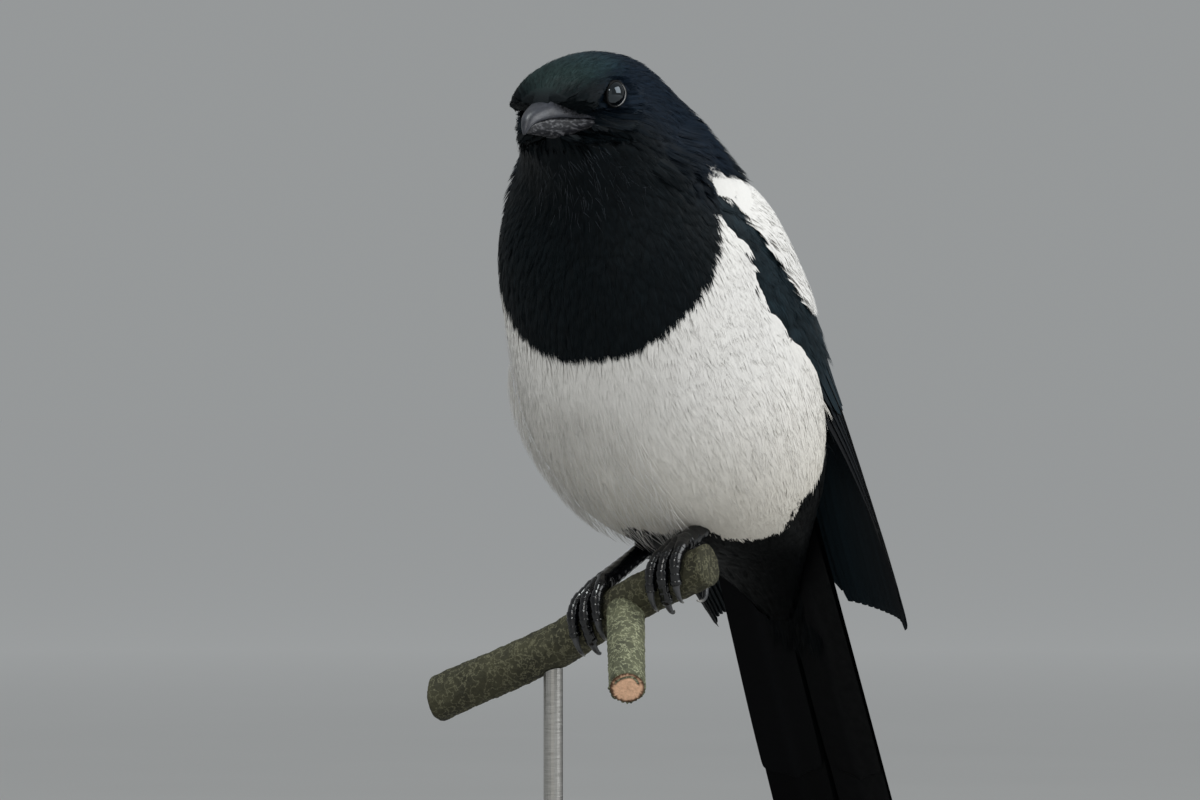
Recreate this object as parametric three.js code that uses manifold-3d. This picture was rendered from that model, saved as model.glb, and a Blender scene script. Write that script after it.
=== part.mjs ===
// A life-size Eurasian magpie, perched on a short cut branch that a plain display stand holds.
// Millimetres, +Z up. The origin is the middle of the underside of the stand's base, the bird
// faces -Y and its left side is +X. Bird dimensions are written from the bird's own reference
// point, where its midline crosses the branch, and one group sets them down on the stand.
import * as THREE from 'three';
import { LoftGeometry } from 'three/addons/geometries/LoftGeometry.js';
import { mergeVertices } from 'three/addons/utils/BufferGeometryUtils.js';
import Module from 'manifold-3d';

const wasm = await Module();
wasm.setup();

// Driving dimensions
const BIRD_AT = new THREE.Vector3( 0, - 22, 205 ); // the reference point, seen from the base
const GAP = 0.3; // clearance between neighbouring pieces
const CUT_GAP = 0.36; // clearance left by a cutter, a little over the gap to stay clear of rounding
const TAIL_LENGTH = 235; // insertion to the tip of the middle feathers
const WING_LENGTH = 210; // bend of the wing to the tip
const BILL_LENGTH = 39; // the head's middle to the tip of the bill
const EYE_RADIUS = 4.9;
const BASE = { width: 190, depth: 160, height: 18, corner: 22 };
const ROD = { radius: 3.5, x: - 38 };

const rad = THREE.MathUtils.degToRad;
const clamp = THREE.MathUtils.clamp;
const lerp = THREE.MathUtils.lerp;
const smoothstep = THREE.MathUtils.smoothstep;
const vec = ( x, y, z ) => new THREE.Vector3( x, y, z );

// Smooth row of numbers between evenly spaced rows, t from 0 to 1 (Catmull-Rom)
function between( rows, t ) {

	const at = clamp( t, 0, 1 ) * ( rows.length - 1 );
	const i = Math.min( Math.floor( at ), rows.length - 2 );
	const f = at - i;
	const row = ( k ) => rows[ clamp( k, 0, rows.length - 1 ) ];
	return rows[ 0 ].map( ( _, c ) => {

		const a = row( i - 1 )[ c ], b = row( i )[ c ], d = row( i + 1 )[ c ], e = row( i + 2 )[ c ];
		return b + 0.5 * f * ( d - a + f * ( 2 * a - 5 * b + 4 * d - e + f * ( 3 * ( b - d ) + e - a ) ) );

	} );

}

// Values between stations: keys holds [ position, value, ... ] rows in rising order. The
// curve through them is smooth, and level beyond both ends.
function along( keys, x ) {

	const last = keys.length - 1;
	if ( x <= keys[ 0 ][ 0 ] ) return keys[ 0 ].slice( 1 );
	if ( x >= keys[ last ][ 0 ] ) return keys[ last ].slice( 1 );
	const i = keys.findIndex( ( k ) => k[ 0 ] > x ) - 1;
	const [ a, b ] = [ keys[ i ], keys[ i + 1 ] ];
	const run = b[ 0 ] - a[ 0 ];
	const f = ( x - a[ 0 ] ) / run;
	const slope = ( k, c ) => {

		const [ p, q ] = [ keys[ Math.max( k - 1, 0 ) ], keys[ Math.min( k + 1, last ) ] ];
		return ( q[ c ] - p[ c ] ) / ( q[ 0 ] - p[ 0 ] ) * run;

	};
	return a.slice( 1 ).map( ( _, n ) => {

		const c = n + 1;
		const [ va, vb, sa, sb ] = [ a[ c ], b[ c ], slope( i, c ), slope( i + 1, c ) ];
		return va + f * ( sa + f * ( 3 * ( vb - va ) - 2 * sa - sb + f * ( sa + sb - 2 * ( vb - va ) ) ) );

	} );

}

// A closed three.js geometry as a solid, turned face out
function solidOf( geometry ) {

	geometry.deleteAttribute( 'normal' );
	geometry.deleteAttribute( 'uv' );
	const merged = mergeVertices( new THREE.BufferGeometry().copy( geometry ), 1e-4 );
	const triVerts = new Uint32Array( merged.index.array );
	const vertProperties = merged.attributes.position.array;
	const mesh = () => new wasm.Mesh( { numProp: 3, vertProperties, triVerts } );
	const made = new wasm.Manifold( mesh() );
	if ( made.volume() > 0 ) return made;
	for ( let i = 1; i < triVerts.length; i += 3 ) {

		const second = triVerts[ i ];
		triVerts[ i ] = triVerts[ i + 1 ];
		triVerts[ i + 1 ] = second;

	}

	return new wasm.Manifold( mesh() );

}

// The largest closed surface of a solid
function largest( solid ) {

	return solid.decompose().reduce( ( a, b ) => ( b.volume() > a.volume() ? b : a ) );

}

// Several solids joined into one
const joined = ( solids ) => solids.reduce( ( all, next ) => all.add( next ) );

function loft( sections ) {

	return solidOf( new LoftGeometry( sections, { capStart: true, capEnd: true } ) );

}

// A ring of points round a centre, in the plane of two directions
function ring( centre, across, up, width, height, sides, squareness = 1 ) {

	return Array.from( { length: sides }, ( _, i ) => {

		const a = i / sides * 2 * Math.PI;
		const c = Math.cos( a ), s = Math.sin( a );
		return centre.clone()
			.addScaledVector( across, width * Math.sign( s ) * Math.abs( s ) ** squareness )
			.addScaledVector( up, height * Math.sign( c ) * Math.abs( c ) ** squareness );

	} );

}

// A round tube through points, with its radius given along it
function tube( path, radiusAt, sides = 10, steps = 12 ) {

	const sections = [];
	const side = vec( 0, 0, 0 );
	for ( let i = 0; i <= steps; i ++ ) {

		const t = i / steps;
		const tangent = path.getTangent( t );
		const aside = Math.abs( tangent.z ) > 0.8 ? vec( 1, 0, 0 ) : vec( 0, 0, 1 );
		if ( i === 0 ) side.crossVectors( tangent, aside );
		side.addScaledVector( tangent, - side.dot( tangent ) ).normalize();
		const [ wide, high ] = [ radiusAt( t ) ].flat().concat( radiusAt( t ) );
		const other = side.clone().cross( tangent );
		sections.push( ring( path.getPoint( t ), side.clone(), other, wide, high, sides ) );

	}

	return loft( sections );

}

// A closed sheet between two matching grids of points, split alike on both faces
function sheet( top, bottom ) {

	const rows = top.length, columns = top[ 0 ].length;
	const positions = [ ...top.flat(), ...bottom.flat() ].flatMap( ( p ) => [ p.x, p.y, p.z ] );
	const under = rows * columns;
	const index = [];
	const quad = ( a, b, c, d ) => index.push( a, b, c, a, c, d );
	for ( let i = 0; i < rows - 1; i ++ ) {

		for ( let j = 0; j < columns - 1; j ++ ) {

			const a = i * columns + j, b = a + 1, c = b + columns, d = a + columns;
			quad( a, b, c, d );
			index.push( under + a, under + c, under + b, under + a, under + d, under + c );

		}

	}

	const edge = [];
	for ( let j = 0; j < columns; j ++ ) edge.push( j );
	for ( let i = 1; i < rows; i ++ ) edge.push( i * columns + columns - 1 );
	for ( let j = columns - 2; j >= 0; j -- ) edge.push( ( rows - 1 ) * columns + j );
	for ( let i = rows - 2; i > 0; i -- ) edge.push( i * columns );
	edge.forEach( ( a, k ) => {

		const b = edge[ ( k + 1 ) % edge.length ];
		quad( b, a, under + a, under + b );

	} );
	const geometry = new THREE.BufferGeometry();
	geometry.setAttribute( 'position', new THREE.Float32BufferAttribute( positions, 3 ) );
	geometry.setIndex( index );
	return solidOf( geometry );

}

// The body: rings from the face to the root of the tail. Each row gives the ring's dorsal
// point (y, z), its ventral point (y, z), its half width, and how far up the widest level is.
const BODY = [
	[ - 75, 166.5, - 66, 156.5, 6, 0.5 ],
	[ - 73.5, 169.5, - 65, 155, 11, 0.52 ],
	[ - 69.5, 174.5, - 64, 152, 15.5, 0.55 ],
	[ - 61.5, 179.8, - 62.5, 148, 18, 0.56 ],
	[ - 50, 183.6, - 59, 143, 20, 0.55 ],
	[ - 36, 185.6, - 54.5, 137, 23, 0.52 ],
	[ - 20, 184, - 52, 128, 27.5, 0.5 ],
	[ - 7, 174, - 51.5, 117, 35.5, 0.5 ],
	[ 5.5, 161.5, - 51.5, 105, 43, 0.5 ],
	[ 21, 148.5, - 48.5, 91, 48.7, 0.5 ],
	[ 37, 133, - 43, 74, 51.7, 0.5 ],
	[ 49, 113, - 34.5, 57, 53.5, 0.5 ],
	[ 59, 92, - 22, 40, 55.5, 0.5 ],
	[ 68, 71, - 5, 25, 53, 0.5 ],
	[ 76, 51, 15, 13, 46.5, 0.48 ],
	[ 84, 32, 39, 6, 35, 0.48 ],
	[ 90, 16, 66, 1.5, 23.5, 0.5 ],
	[ 97, 0, 85, - 8, 14, 0.5 ],
	[ 104, - 17, 100, - 19, 5, 0.5 ],
];
const BODY_SIDES = 24;
const HEAD_END = 0.335, NECK_END = 0.5; // where the head and the neck stop, as shares of the rings

// One ring of the body, grown outward by extra millimetres
function bodyRing( t, extra = 0, sides = BODY_SIDES ) {

	const [ dy, dz, vy, vz, width, level ] = between( BODY, t );
	const dorsal = vec( 0, dy, dz ), ventral = vec( 0, vy, vz );
	const up = dorsal.clone().sub( ventral ).normalize();
	const middle = ventral.clone().lerp( dorsal, level );
	const high = dorsal.distanceTo( middle ) + extra, low = middle.distanceTo( ventral ) + extra;
	return Array.from( { length: sides }, ( _, i ) => {

		const a = i / sides * 2 * Math.PI;
		const c = Math.cos( a ), s = Math.sin( a );
		return middle.clone()
			.addScaledVector( up, c > 0 ? c * high : c * low )
			.setX( ( width + extra ) * s );

	} );

}

function bodyPart( from, to, steps, extra = 0 ) {

	const rings = Array.from( { length: steps + 1 }, ( _, i ) => bodyRing( lerp( from, to, i / steps ), extra ) );
	return loft( rings );

}

const ringGap = 0.0014; // share of the rings that leaves the clearance between two lengths of body
const head = bodyPart( 0, HEAD_END - ringGap / 2, 10 );
const neck = bodyPart( HEAD_END + ringGap / 2, NECK_END - ringGap / 2, 4 );
const torso = bodyPart( NECK_END + ringGap / 2, 1, 13 );

// The head's own axes: forward along the bill, and up
const HEAD_PITCH = rad( 15.5 );
const forward = vec( 0, - Math.cos( HEAD_PITCH ), - Math.sin( HEAD_PITCH ) );
const headUp = vec( 0, - Math.sin( HEAD_PITCH ), Math.cos( HEAD_PITCH ) );
const HEAD_MIDDLE = vec( 0, - 48, 170 );
const EYE = { x: 15, ahead: 2.5, up: 0.4 };
const headPoint = ( x, ahead, up ) => HEAD_MIDDLE.clone().setX( x )
	.addScaledVector( forward, ahead ).addScaledVector( headUp, up );

// Bill: rows of distance ahead of the head's middle, half width, height over the mouth line, and the
// level of the mouth line, for the upper and the lower half
const UPPER_BILL = [
	[ 2.5, 10, 4, - 9.5 ],
	[ 10, 9.8, 6, - 6.8 ],
	[ 18, 8.6, 8, - 4.6 ],
	[ 25, 7, 6, - 2.8 ],
	[ 30, 5.4, 4.9, - 2.2 ],
	[ 34.5, 3.7, 3.6, - 2.1 ],
	[ 37.5, 2.2, 2.6, - 3.2 ],
	[ BILL_LENGTH + 0.6, 0.6, 1.1, - 5.4 ],
];
const LOWER_BILL = [
	[ 2.5, 9.6, 4, - 9.5 ],
	[ 10, 9.3, 5, - 6.8 ],
	[ 18, 7.8, 7, - 4.6 ],
	[ 25, 6, 6.5, - 2.8 ],
	[ 30, 4.4, 5.4, - 2.2 ],
	[ 34.5, 2.8, 4, - 2.1 ],
	[ 37, 1.2, 2.2, - 3 ],
];

function billHalf( rows, sign ) {

	const across = vec( 1, 0, 0 );
	const sides = 12;
	const sections = rows.map( ( [ ahead, width, height, level ] ) => {

		const flat = GAP * 0.55 * sign; // half of the mouth's gap
		return Array.from( { length: sides }, ( _, i ) => {

			const a = sign * ( 0.5 - i / ( sides - 1 ) ) * Math.PI;
			const rise = Math.cos( a ) ** 0.8 * height * sign;
			return headPoint( 0, ahead, level + flat + rise ).addScaledVector( across, Math.sin( a ) * width );

		} );

	} );
	return loft( sections );

}

const billUpper = billHalf( UPPER_BILL, 1 );
const billLower = billHalf( LOWER_BILL, - 1 );

// Nasal bristles: flat tapered locks that lie forward over the root of the bill
function bristles( side ) {

	const COUNT = 4;
	return Array.from( { length: COUNT }, ( _, k ) => {

		const share = k / ( COUNT - 1 );
		const x = side * lerp( 2.2, 8.6, share );
		const rise = lerp( 3.6, - 2, share );
		const from = headPoint( x * 0.95, 14, rise + 0.4 );
		const over = headPoint( x * 1.04, 21, rise + 1 );
		const to = headPoint( x * lerp( 0.9, 0.86, share ), lerp( 28, 23, share ), rise - 0.3 );
		const path = new THREE.QuadraticBezierCurve3( from, over, to );
		return tube( path, ( t ) => lerp( 1.4, 0.4, t * t ), 4, 3 );

	} );

}

// An eye and the ring of lid round it
const EYE_SINK = 0.2; // how far the eyeball's middle lies outside the eye's point
const EYE_TURN = rad( 18 ); // how far the eyes look ahead of straight sideways
function eyeAxis( side ) {

	return vec( side * Math.cos( EYE_TURN ), 0, 0 ).addScaledVector( forward, Math.sin( EYE_TURN ) );

}

function eyeCentre( side ) {

	return headPoint( side * EYE.x, EYE.ahead, EYE.up );

}

function eyeball( side, extra = 0 ) {

	const geometry = new THREE.SphereGeometry( EYE_RADIUS + extra, 12, 8 );
	const axis = eyeAxis( side );
	geometry.applyQuaternion( new THREE.Quaternion().setFromUnitVectors( vec( 0, 1, 0 ), axis ) );
	const centre = eyeCentre( side ).addScaledVector( axis, EYE_SINK );
	geometry.translate( centre.x, centre.y, centre.z );
	return solidOf( geometry );

}

function eyelid( side ) {

	const axis = eyeAxis( side );
	const LID_RADIUS = 4.7, LID_THICK = 0.75;
	const geometry = new THREE.TorusGeometry( LID_RADIUS, LID_THICK, 4, 14 );
	geometry.applyQuaternion( new THREE.Quaternion().setFromUnitVectors( vec( 0, 0, 1 ), axis ) );
	const centre = eyeCentre( side ).addScaledVector( axis, 2.2 );
	geometry.translate( centre.x, centre.y, centre.z );
	return solidOf( geometry );

}

// A hollow in the side of the head: half sizes sideways, ahead and up, round a middle
function hollow( side, [ x, ahead, up ], size ) {

	const geometry = new THREE.SphereGeometry( 1, 12, 7 );
	geometry.scale( ...size ).rotateX( HEAD_PITCH );
	const centre = headPoint( side * x, ahead, up );
	return solidOf( geometry.translate( centre.x, centre.y, centre.z ) );

}

// The eye's socket, the lore in front of it, and the hollow that bares the side of the bill
const HOLLOWS = [
	[ [ EYE.x + 6.3, EYE.ahead + 1.6, EYE.up ], [ 7.4, 7.4, 7.4 ] ],
	[ [ 21.5, 10, - 0.4 ], [ 8, 8.5, 4.8 ] ],
	[ [ 17.8, 17.5, - 7.2 ], [ 11.3, 16.5, 6.4 ] ],
];

const sides = { left: 1, right: - 1 };
let headWhole = head;
for ( const side of Object.values( sides ) ) {

	for ( const [ at, size ] of HOLLOWS ) headWhole = headWhole.subtract( hollow( side, at, size ) );
	headWhole = headWhole.add( eyelid( side ) );
	headWhole = joined( [ headWhole, ...bristles( side ) ] ).subtract( eyeball( side, CUT_GAP ) );

}

const widened = ( rows ) => rows.map( ( [ a, w, h, l ] ) => [ a, w + CUT_GAP, h + CUT_GAP, l ] );
const billCutter = ( rows, sign ) => billHalf( widened( rows ), sign );

// The folded wing lies on a curved envelope over the side of the body. Its axis runs from the
// bend of the wing to the tip; half width and half height of the envelope vary along it.
const WING_ROOT = vec( 0, - 15.5, 134 );
const WING_AXIS = vec( 0, 134.5, - 151 ).normalize();
const WING_UP = vec( 0, - WING_AXIS.z, WING_AXIS.y );
const WING_SHAPE = [ // share of the length, half width, half height, lower and upper edge in degrees
	[ - 0.05, 41, 26, 111, 62 ],
	[ 0.1, 49, 33.5, 110, 48 ],
	[ 0.25, 51, 34.5, 108, 34 ],
	[ 0.42, 49.8, 29.5, 104, 24 ],
	[ 0.6, 48.6, 21, 98, 18 ],
	[ 0.8, 46.2, 12, 93, 14 ],
	[ 1, 42.2, 7, 90, 14 ],
];

// A point on the left wing's envelope: u along it, v from the lower edge to the upper, lift outward
function wingPoint( side, u, v, lift = 0 ) {

	const [ wide, high, low, top ] = along( WING_SHAPE, u );
	const a = rad( lerp( low, top, v ) );
	const normal = vec( Math.sin( a ) / wide, 0, 0 )
		.addScaledVector( WING_UP, Math.cos( a ) / high )
		.normalize();
	const p = WING_ROOT.clone().addScaledVector( WING_AXIS, u * WING_LENGTH )
		.addScaledVector( WING_UP, high * Math.cos( a ) )
		.addScaledVector( normal, lift );
	p.x += wide * Math.sin( a );
	p.x *= side;
	return p;

}

// The arm and hand under the feathers: a slab on the envelope between two lifts
function wingSlab( side, [ start, end ], [ low, high ], [ bottom, top ], rows, columns ) {

	const grid = ( lift ) => Array.from( { length: rows + 1 }, ( _, i ) => {

		const u = lerp( start, end, i / rows );
		const at = ( j ) => wingPoint( side, u, lerp( low, high, j / columns ), lift );
		return Array.from( { length: columns + 1 }, ( _, j ) => at( j ) );

	} );
	return sheet( grid( top ), grid( bottom ) );

}

// One feather as a thin vane. point( along, across, lift ) lays it out; half is its half width
// at the root and at the tip. Its outer edge lies high and its inner edge is tucked under the
// next feather, by the tilt.
const VANE_THICK = 0.6;
const VANE_SHAPE = [ [ 0, 1 ], [ 0.45, 1 ], [ 0.92, 0.82 ], [ 1, 0.25 ] ];
const COVERT_SHAPE = [ [ 0, 0.9 ], [ 0.5, 1 ], [ 0.86, 0.75 ], [ 1, 0.2 ] ];
function vane( point, { shape, columns }, { from, to, half, lift, tilt = 0 } ) {

	const grid = ( depth ) => shape.map( ( [ t, share ] ) => Array.from( { length: columns }, ( _, j ) => {

		const x = 1 - 2 * j / ( columns - 1 );
		const across = lerp( from[ 1 ], to[ 1 ], t ) - x * share * lerp( half[ 0 ], half[ 1 ], t );
		const rise = lerp( lift[ 0 ], lift[ 1 ], t ) + tilt * x * share / 2;
		return point( lerp( from[ 0 ], to[ 0 ], t ), across, rise - depth );

	} ) );
	return sheet( grid( 0 ), grid( VANE_THICK ) );

}

const FLIGHT = { shape: VANE_SHAPE, columns: 2, overlap: 0.9 }; // overlap: half width over spacing
const TAIL_FEATHER = { shape: VANE_SHAPE, columns: 3 };
const COVERT = { shape: COVERT_SHAPE, columns: 2, overlap: 0.62 };

// A row of parallel feathers, whose tilt keeps each clear of the next. The rows give the
// share of the row with the root's and the tip's place along the wing.
function vaneRow( point, kind, count, [ first, last ], ends, lift ) {

	const spacing = ( last - first ) / ( count - 1 );
	return Array.from( { length: count }, ( _, i ) => {

		const [ root, tip ] = along( ends, i / ( count - 1 ) );
		const across = first + i * spacing;
		return vane( point, kind, {
			from: [ root, across ],
			to: [ tip, across ],
			half: [ kind.overlap * spacing, kind.overlap * spacing ],
			lift,
			tilt: 2 * kind.overlap * ( VANE_THICK + GAP + 0.06 ),
		} );

	} );

}

// Rows of the folded wing, lowest layer first. The roots of the flight feathers are sunk in
// the end of the arm.
const ARM = { u: [ 0, 0.42 ], v: [ 0.01, 0.96 ], lift: [ - 3.2, 0.5 ] };
function wingFeathers( side ) {

	const point = ( u, v, lift ) => wingPoint( side, u, v, lift );
	const row = ( kind, count, span, ends, lift ) => vaneRow( point, kind, count, span, ends, lift );
	const COVERT_LIFT = [ 0.5, 2 ];
	return [
		...row( FLIGHT, 15, [ 0.035, 0.84 ], [ [ 0, 0.39, 0.76 ], [ 0.07, 0.39, 0.9 ], [ 0.14, 0.39, 0.965 ],
			[ 0.21, 0.39, 1 ], [ 0.34, 0.39, 0.985 ], [ 0.6, 0.39, 0.95 ], [ 1, 0.39, 0.93 ] ], [ - 0.8, - 0.8 ] ),
		...row( FLIGHT, 3, [ 0.86, 0.99 ], [ [ 0, 0.37, 0.9 ], [ 1, 0.37, 0.84 ] ], [ 0.6, 0.9 ] ),
		...row( COVERT, 2, [ 0.06, 0.15 ], [ [ 0, 0.25, 0.45 ], [ 1, 0.27, 0.48 ] ], COVERT_LIFT ),
		...row( COVERT, 5, [ 0.25, 0.83 ], [ [ 0, 0.34, 0.5 ], [ 1, 0.34, 0.51 ] ], COVERT_LIFT ),
		...row( COVERT, 3, [ 0.1, 0.28 ], [ [ 0, 0.21, 0.35 ], [ 1, 0.22, 0.37 ] ], [ 0.9, 2.4 ] ),
		...row( COVERT, 3, [ 0.1, 0.27 ], [ [ 0, 0.07, 0.22 ], [ 1, 0.08, 0.24 ] ], [ 1.2, 2.7 ] ),
	];

}

function wing( side ) {

	const arm = wingSlab( side, ARM.u, ARM.v, ARM.lift, 8, 6 );
	return joined( [ arm, ...wingFeathers( side ) ] ).subtract( shoulderCutter( side ) );

}

// White shoulder feathers lie over the upper part of the wing, on a pad of their own
const SHOULDER = { u: [ - 0.02, 0.22 ], v: [ 0.4, 1 ], lift: [ 0.4, 2.2 ] };
function shoulder( side ) {

	const point = ( u, v, lift ) => wingPoint( side, u, v, lift );
	const row = ( count, from, to, lift ) => vaneRow( point, COVERT, count, [ 0.45, 0.95 ],
		[ [ 0, from, to - 0.05 ], [ 0.25, from, to ], [ 0.6, from, to ], [ 1, from, to - 0.05 ] ], [ lift - 1.3, lift - 0.5 ] );
	const pad = wingSlab( side, SHOULDER.u, SHOULDER.v, SHOULDER.lift, 6, 5 );
	return joined( [ pad, ...row( 5, 0.17, 0.33, 3.4 ), ...row( 5, 0.06, 0.21, 3.8 ) ] );

}

// What the shoulder feathers clear from the wing and the body beneath them
function shoulderCutter( side ) {

	const across = [ SHOULDER.v[ 0 ] - 0.08, SHOULDER.v[ 1 ] + 0.08 ];
	return wingSlab( side, [ SHOULDER.u[ 0 ] - 0.01, 0.36 ], across, [ SHOULDER.lift[ 0 ] - CUT_GAP, 8 ], 10, 6 );

}

// What the folded wing clears from the body
function wingCutter( side ) {

	return wingSlab( side, [ - 0.032, 1.01 ], [ - 0.03, 1.07 ], [ ARM.lift[ 0 ] - CUT_GAP, 9 ], 14, 8 );

}

// The tail: its root lies in the rump and the folded feathers run down and back
const TAIL_ROOT = vec( 3.3, 78, 33 );
const TAIL_ANGLE = rad( 28 ); // from straight down
const TAIL_AXIS = vec( 0, Math.sin( TAIL_ANGLE ), - Math.cos( TAIL_ANGLE ) );
const TAIL_UP = vec( 0, Math.cos( TAIL_ANGLE ), Math.sin( TAIL_ANGLE ) );
const tailPoint = ( x, down, lift ) => vec( x, 0, 0 ).add( TAIL_ROOT )
	.addScaledVector( TAIL_AXIS, down ).addScaledVector( TAIL_UP, lift - x * x * 0.006 );

// A solid along the tail: half width and half height at distances down it
function tailSolid( stations, lift, width, height, squareness ) {

	return loft( stations.map( ( down ) => ring( tailPoint( 0, down, lift ), vec( 1, 0, 0 ), TAIL_UP,
		width( down ), height( down ), 12, squareness ) ) );

}

// Pairs of tail feathers from the middle outward: each is shorter and lies lower
const TAIL_PAIRS = [ 1, 0.945, 0.85, 0.75, 0.645, 0.53 ];
const TAIL_HALF = 12.6; // half width of one feather
const TAIL_LEVEL = VANE_THICK + GAP + 0.06; // how much lower each next pair lies
const TAIL_TOP = 2.6;
function tailFeathers() {

	const point = ( along, across, lift ) => tailPoint( across, along * TAIL_LENGTH, lift );
	const pairs = TAIL_PAIRS.flatMap( ( length, k ) => Object.values( sides ).map( ( side ) => {

		const level = k > 0 ? k + 1 : ( 1 - side ) / 2; // the two middle feathers cross
		const lift = TAIL_TOP - TAIL_LEVEL * level;
		const across = k > 0 ? TAIL_HALF + 0.2 + 0.1 * k : 4.5;
		return vane( point, TAIL_FEATHER, {
			from: [ 0.02, side * Math.min( across, 11.5 ) ], to: [ length, side * across ], half: [ 10.4, TAIL_HALF ],
			lift: [ lift, lift ],
		} );

	} ) );
	const covertRow = ( reach, top, spread ) => [ - 1, 0, 1 ].map( ( x ) => vane( point, COVERT, {
		from: [ 0, x * spread * 0.7 ], to: [ reach - 0.05 * Math.abs( x ), x * spread ], half: [ 6, 7 ],
		lift: [ top - 1, top + ( x === 0 ? 0.9 : 0 ) ],
	} ) );
	const block = tailSolid( [ 0, 12, 30 ], - 0.4, () => 17, ( down ) => 4.2 - down * 0.02, 0.7 );
	const coverts = [ ...covertRow( 0.32, TAIL_TOP + 1.3, 9 ), ...covertRow( 0.34, - 4.1, 9 ) ];
	return joined( [ block, ...pairs, ...coverts ] );

}

// What the root of the tail clears from the rump
function tailCutter() {

	return tailSolid( [ - 1, 20, 45, 72 ], - 1, ( down ) => 25.5 + down * 0.03, () => 8.6, 0.5 );

}

// The branch: its axis and half thickness along x
const BRANCH = [ // x, z of the axis, radius
	[ - 86, - 46, 8.3 ],
	[ - 60, - 35.5, 8.1 ],
	[ - 35, - 25.2, 8 ],
	[ - 20, - 17, 7.8 ],
	[ 0, - 6.5, 7.8 ],
	[ 16, 0, 7.6 ],
	[ 26, 4, 7.4 ],
];

function branchAt( x ) {

	const [ z, radius ] = along( BRANCH, x );
	const [ before ] = along( BRANCH, x - 2 ), [ after ] = along( BRANCH, x + 2 );
	const run = vec( 4, 0, after - before ).normalize();
	return { centre: vec( x, 0, z ), radius, run, up: vec( - run.z, 0, run.x ), ahead: vec( 0, - 1, 0 ) };

}

const STUB = { from: vec( - 8, 0, - 11 ), to: vec( 15, - 39, - 38.5 ), radius: 6.5 };

function branch( extra = 0 ) {

	const STEPS = 12, SIDES = 14;
	const [ first ] = BRANCH[ 0 ], [ last ] = BRANCH[ BRANCH.length - 1 ];
	const sections = Array.from( { length: STEPS + 1 }, ( _, i ) => {

		const { centre, radius, up, ahead } = branchAt( lerp( first, last, i / STEPS ) );
		return ring( centre, ahead, up, radius + extra, radius + extra, SIDES );

	} );
	const stubRadius = ( t ) => STUB.radius + extra + 0.5 * ( 1 - t );
	const stub = tube( new THREE.LineCurve3( STUB.from, STUB.to ), stubRadius, 14, 3 );
	return loft( sections ).add( stub );

}

// Feet: three toes forward over the branch and one back, each with its claw
const toes = ( inner, outer ) => [ // name, sideways spread, length, forward or back
	[ 'inner', inner, 21, 1 ],
	[ 'middle', 0, 27, 1 ],
	[ 'outer', outer, 22, 1 ],
	[ 'hind', 0, 19, - 1 ],
];
const FEET = {
	left: { x: 18.5, toes: toes( - 4.8, 5 ) },
	right: { x: - 13, toes: toes( 4.8, - 4.8 ) },
};
const TOE_RADIUS = 2.1, TOE_RAISE = TOE_RADIUS + 0.45;
const TOE_DRIFT = - 0.3; // how far a toe runs along the branch for each millimetre of its length
const CLAW_LENGTH = 9.5;

// A point over the branch: angle from its top towards the front, height over the bark
function overBranch( x, angle, height ) {

	const { centre, radius, up, ahead } = branchAt( x );
	return centre.clone().addScaledVector( up, ( radius + height ) * Math.cos( angle ) )
		.addScaledVector( ahead, ( radius + height ) * Math.sin( angle ) );

}

// The line of one toe and its claw: distance s along it, from the ball of the foot
function toeLine( footX, offset, way, s, raise = TOE_RAISE ) {

	const spread = offset * smoothstep( s, - 4, 10 );
	const x = footX + spread + TOE_DRIFT * s * ( way > 0 ? 1 : 0.2 );
	const { radius } = branchAt( x );
	const START = rad( 14 ); // the toes part a little behind the top of the branch
	return overBranch( x, way * s / ( radius + TOE_RAISE ) - START, raise );

}

function toe( footX, [ , offset, length, way ] ) {

	const STEPS = 10;
	const points = Array.from( { length: STEPS + 1 }, ( _, i ) => {

		const s = i / STEPS * length;
		const raise = TOE_RAISE + 2.4 * ( 1 - smoothstep( s, 0, 7 ) );
		return toeLine( footX, offset, way, s, raise );

	} );
	const bulge = ( t ) => TOE_RADIUS * ( 1.05 - 0.22 * t + 0.09 * Math.cos( t * 6 * Math.PI ) );
	return tube( new THREE.CatmullRomCurve3( points ), bulge, 6, STEPS );

}

function claw( footX, [ , offset, length, way ] ) {

	const STEPS = 5;
	const points = Array.from( { length: STEPS + 1 }, ( _, i ) => {

		const s = length + CUT_GAP + i / STEPS * CLAW_LENGTH;
		const raise = TOE_RAISE + 0.3 + 1.2 * Math.sin( i / STEPS * Math.PI * 0.9 ) - 0.8 * ( i / STEPS ) ** 2;
		return toeLine( footX, offset, way, s, raise );

	} );
	return tube( new THREE.CatmullRomCurve3( points ), ( t ) => lerp( 1.55, 0.3, t ** 0.8 ), 6, STEPS );

}

const SHANK_RISE = rad( 20 ); // the legs are folded, so the shank lies back nearly level
const SHANK_LENGTH = 46;
function shankLine( footX ) {

	const from = overBranch( footX, rad( - 16 ), TOE_RAISE + 2 );
	const back = Math.cos( SHANK_RISE ) * SHANK_LENGTH, rise = Math.sin( SHANK_RISE ) * SHANK_LENGTH;
	return [ from, from.clone().add( vec( Math.sign( footX ) * 1.5, back, rise ) ) ];

}

function foot( footX, toes ) {

	const [ from, to ] = shankLine( footX );
	const ball = solidOf( new THREE.SphereGeometry( 3.7, 10, 6 ).translate( from.x, from.y, from.z ) );
	const ankle = tube( new THREE.LineCurve3( from, from.clone().lerp( to, 0.1 ) ), () => 2.9, 8, 2 );
	return joined( [ ball, ankle, ...toes.map( ( t ) => toe( footX, t ) ) ] );

}

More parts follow.
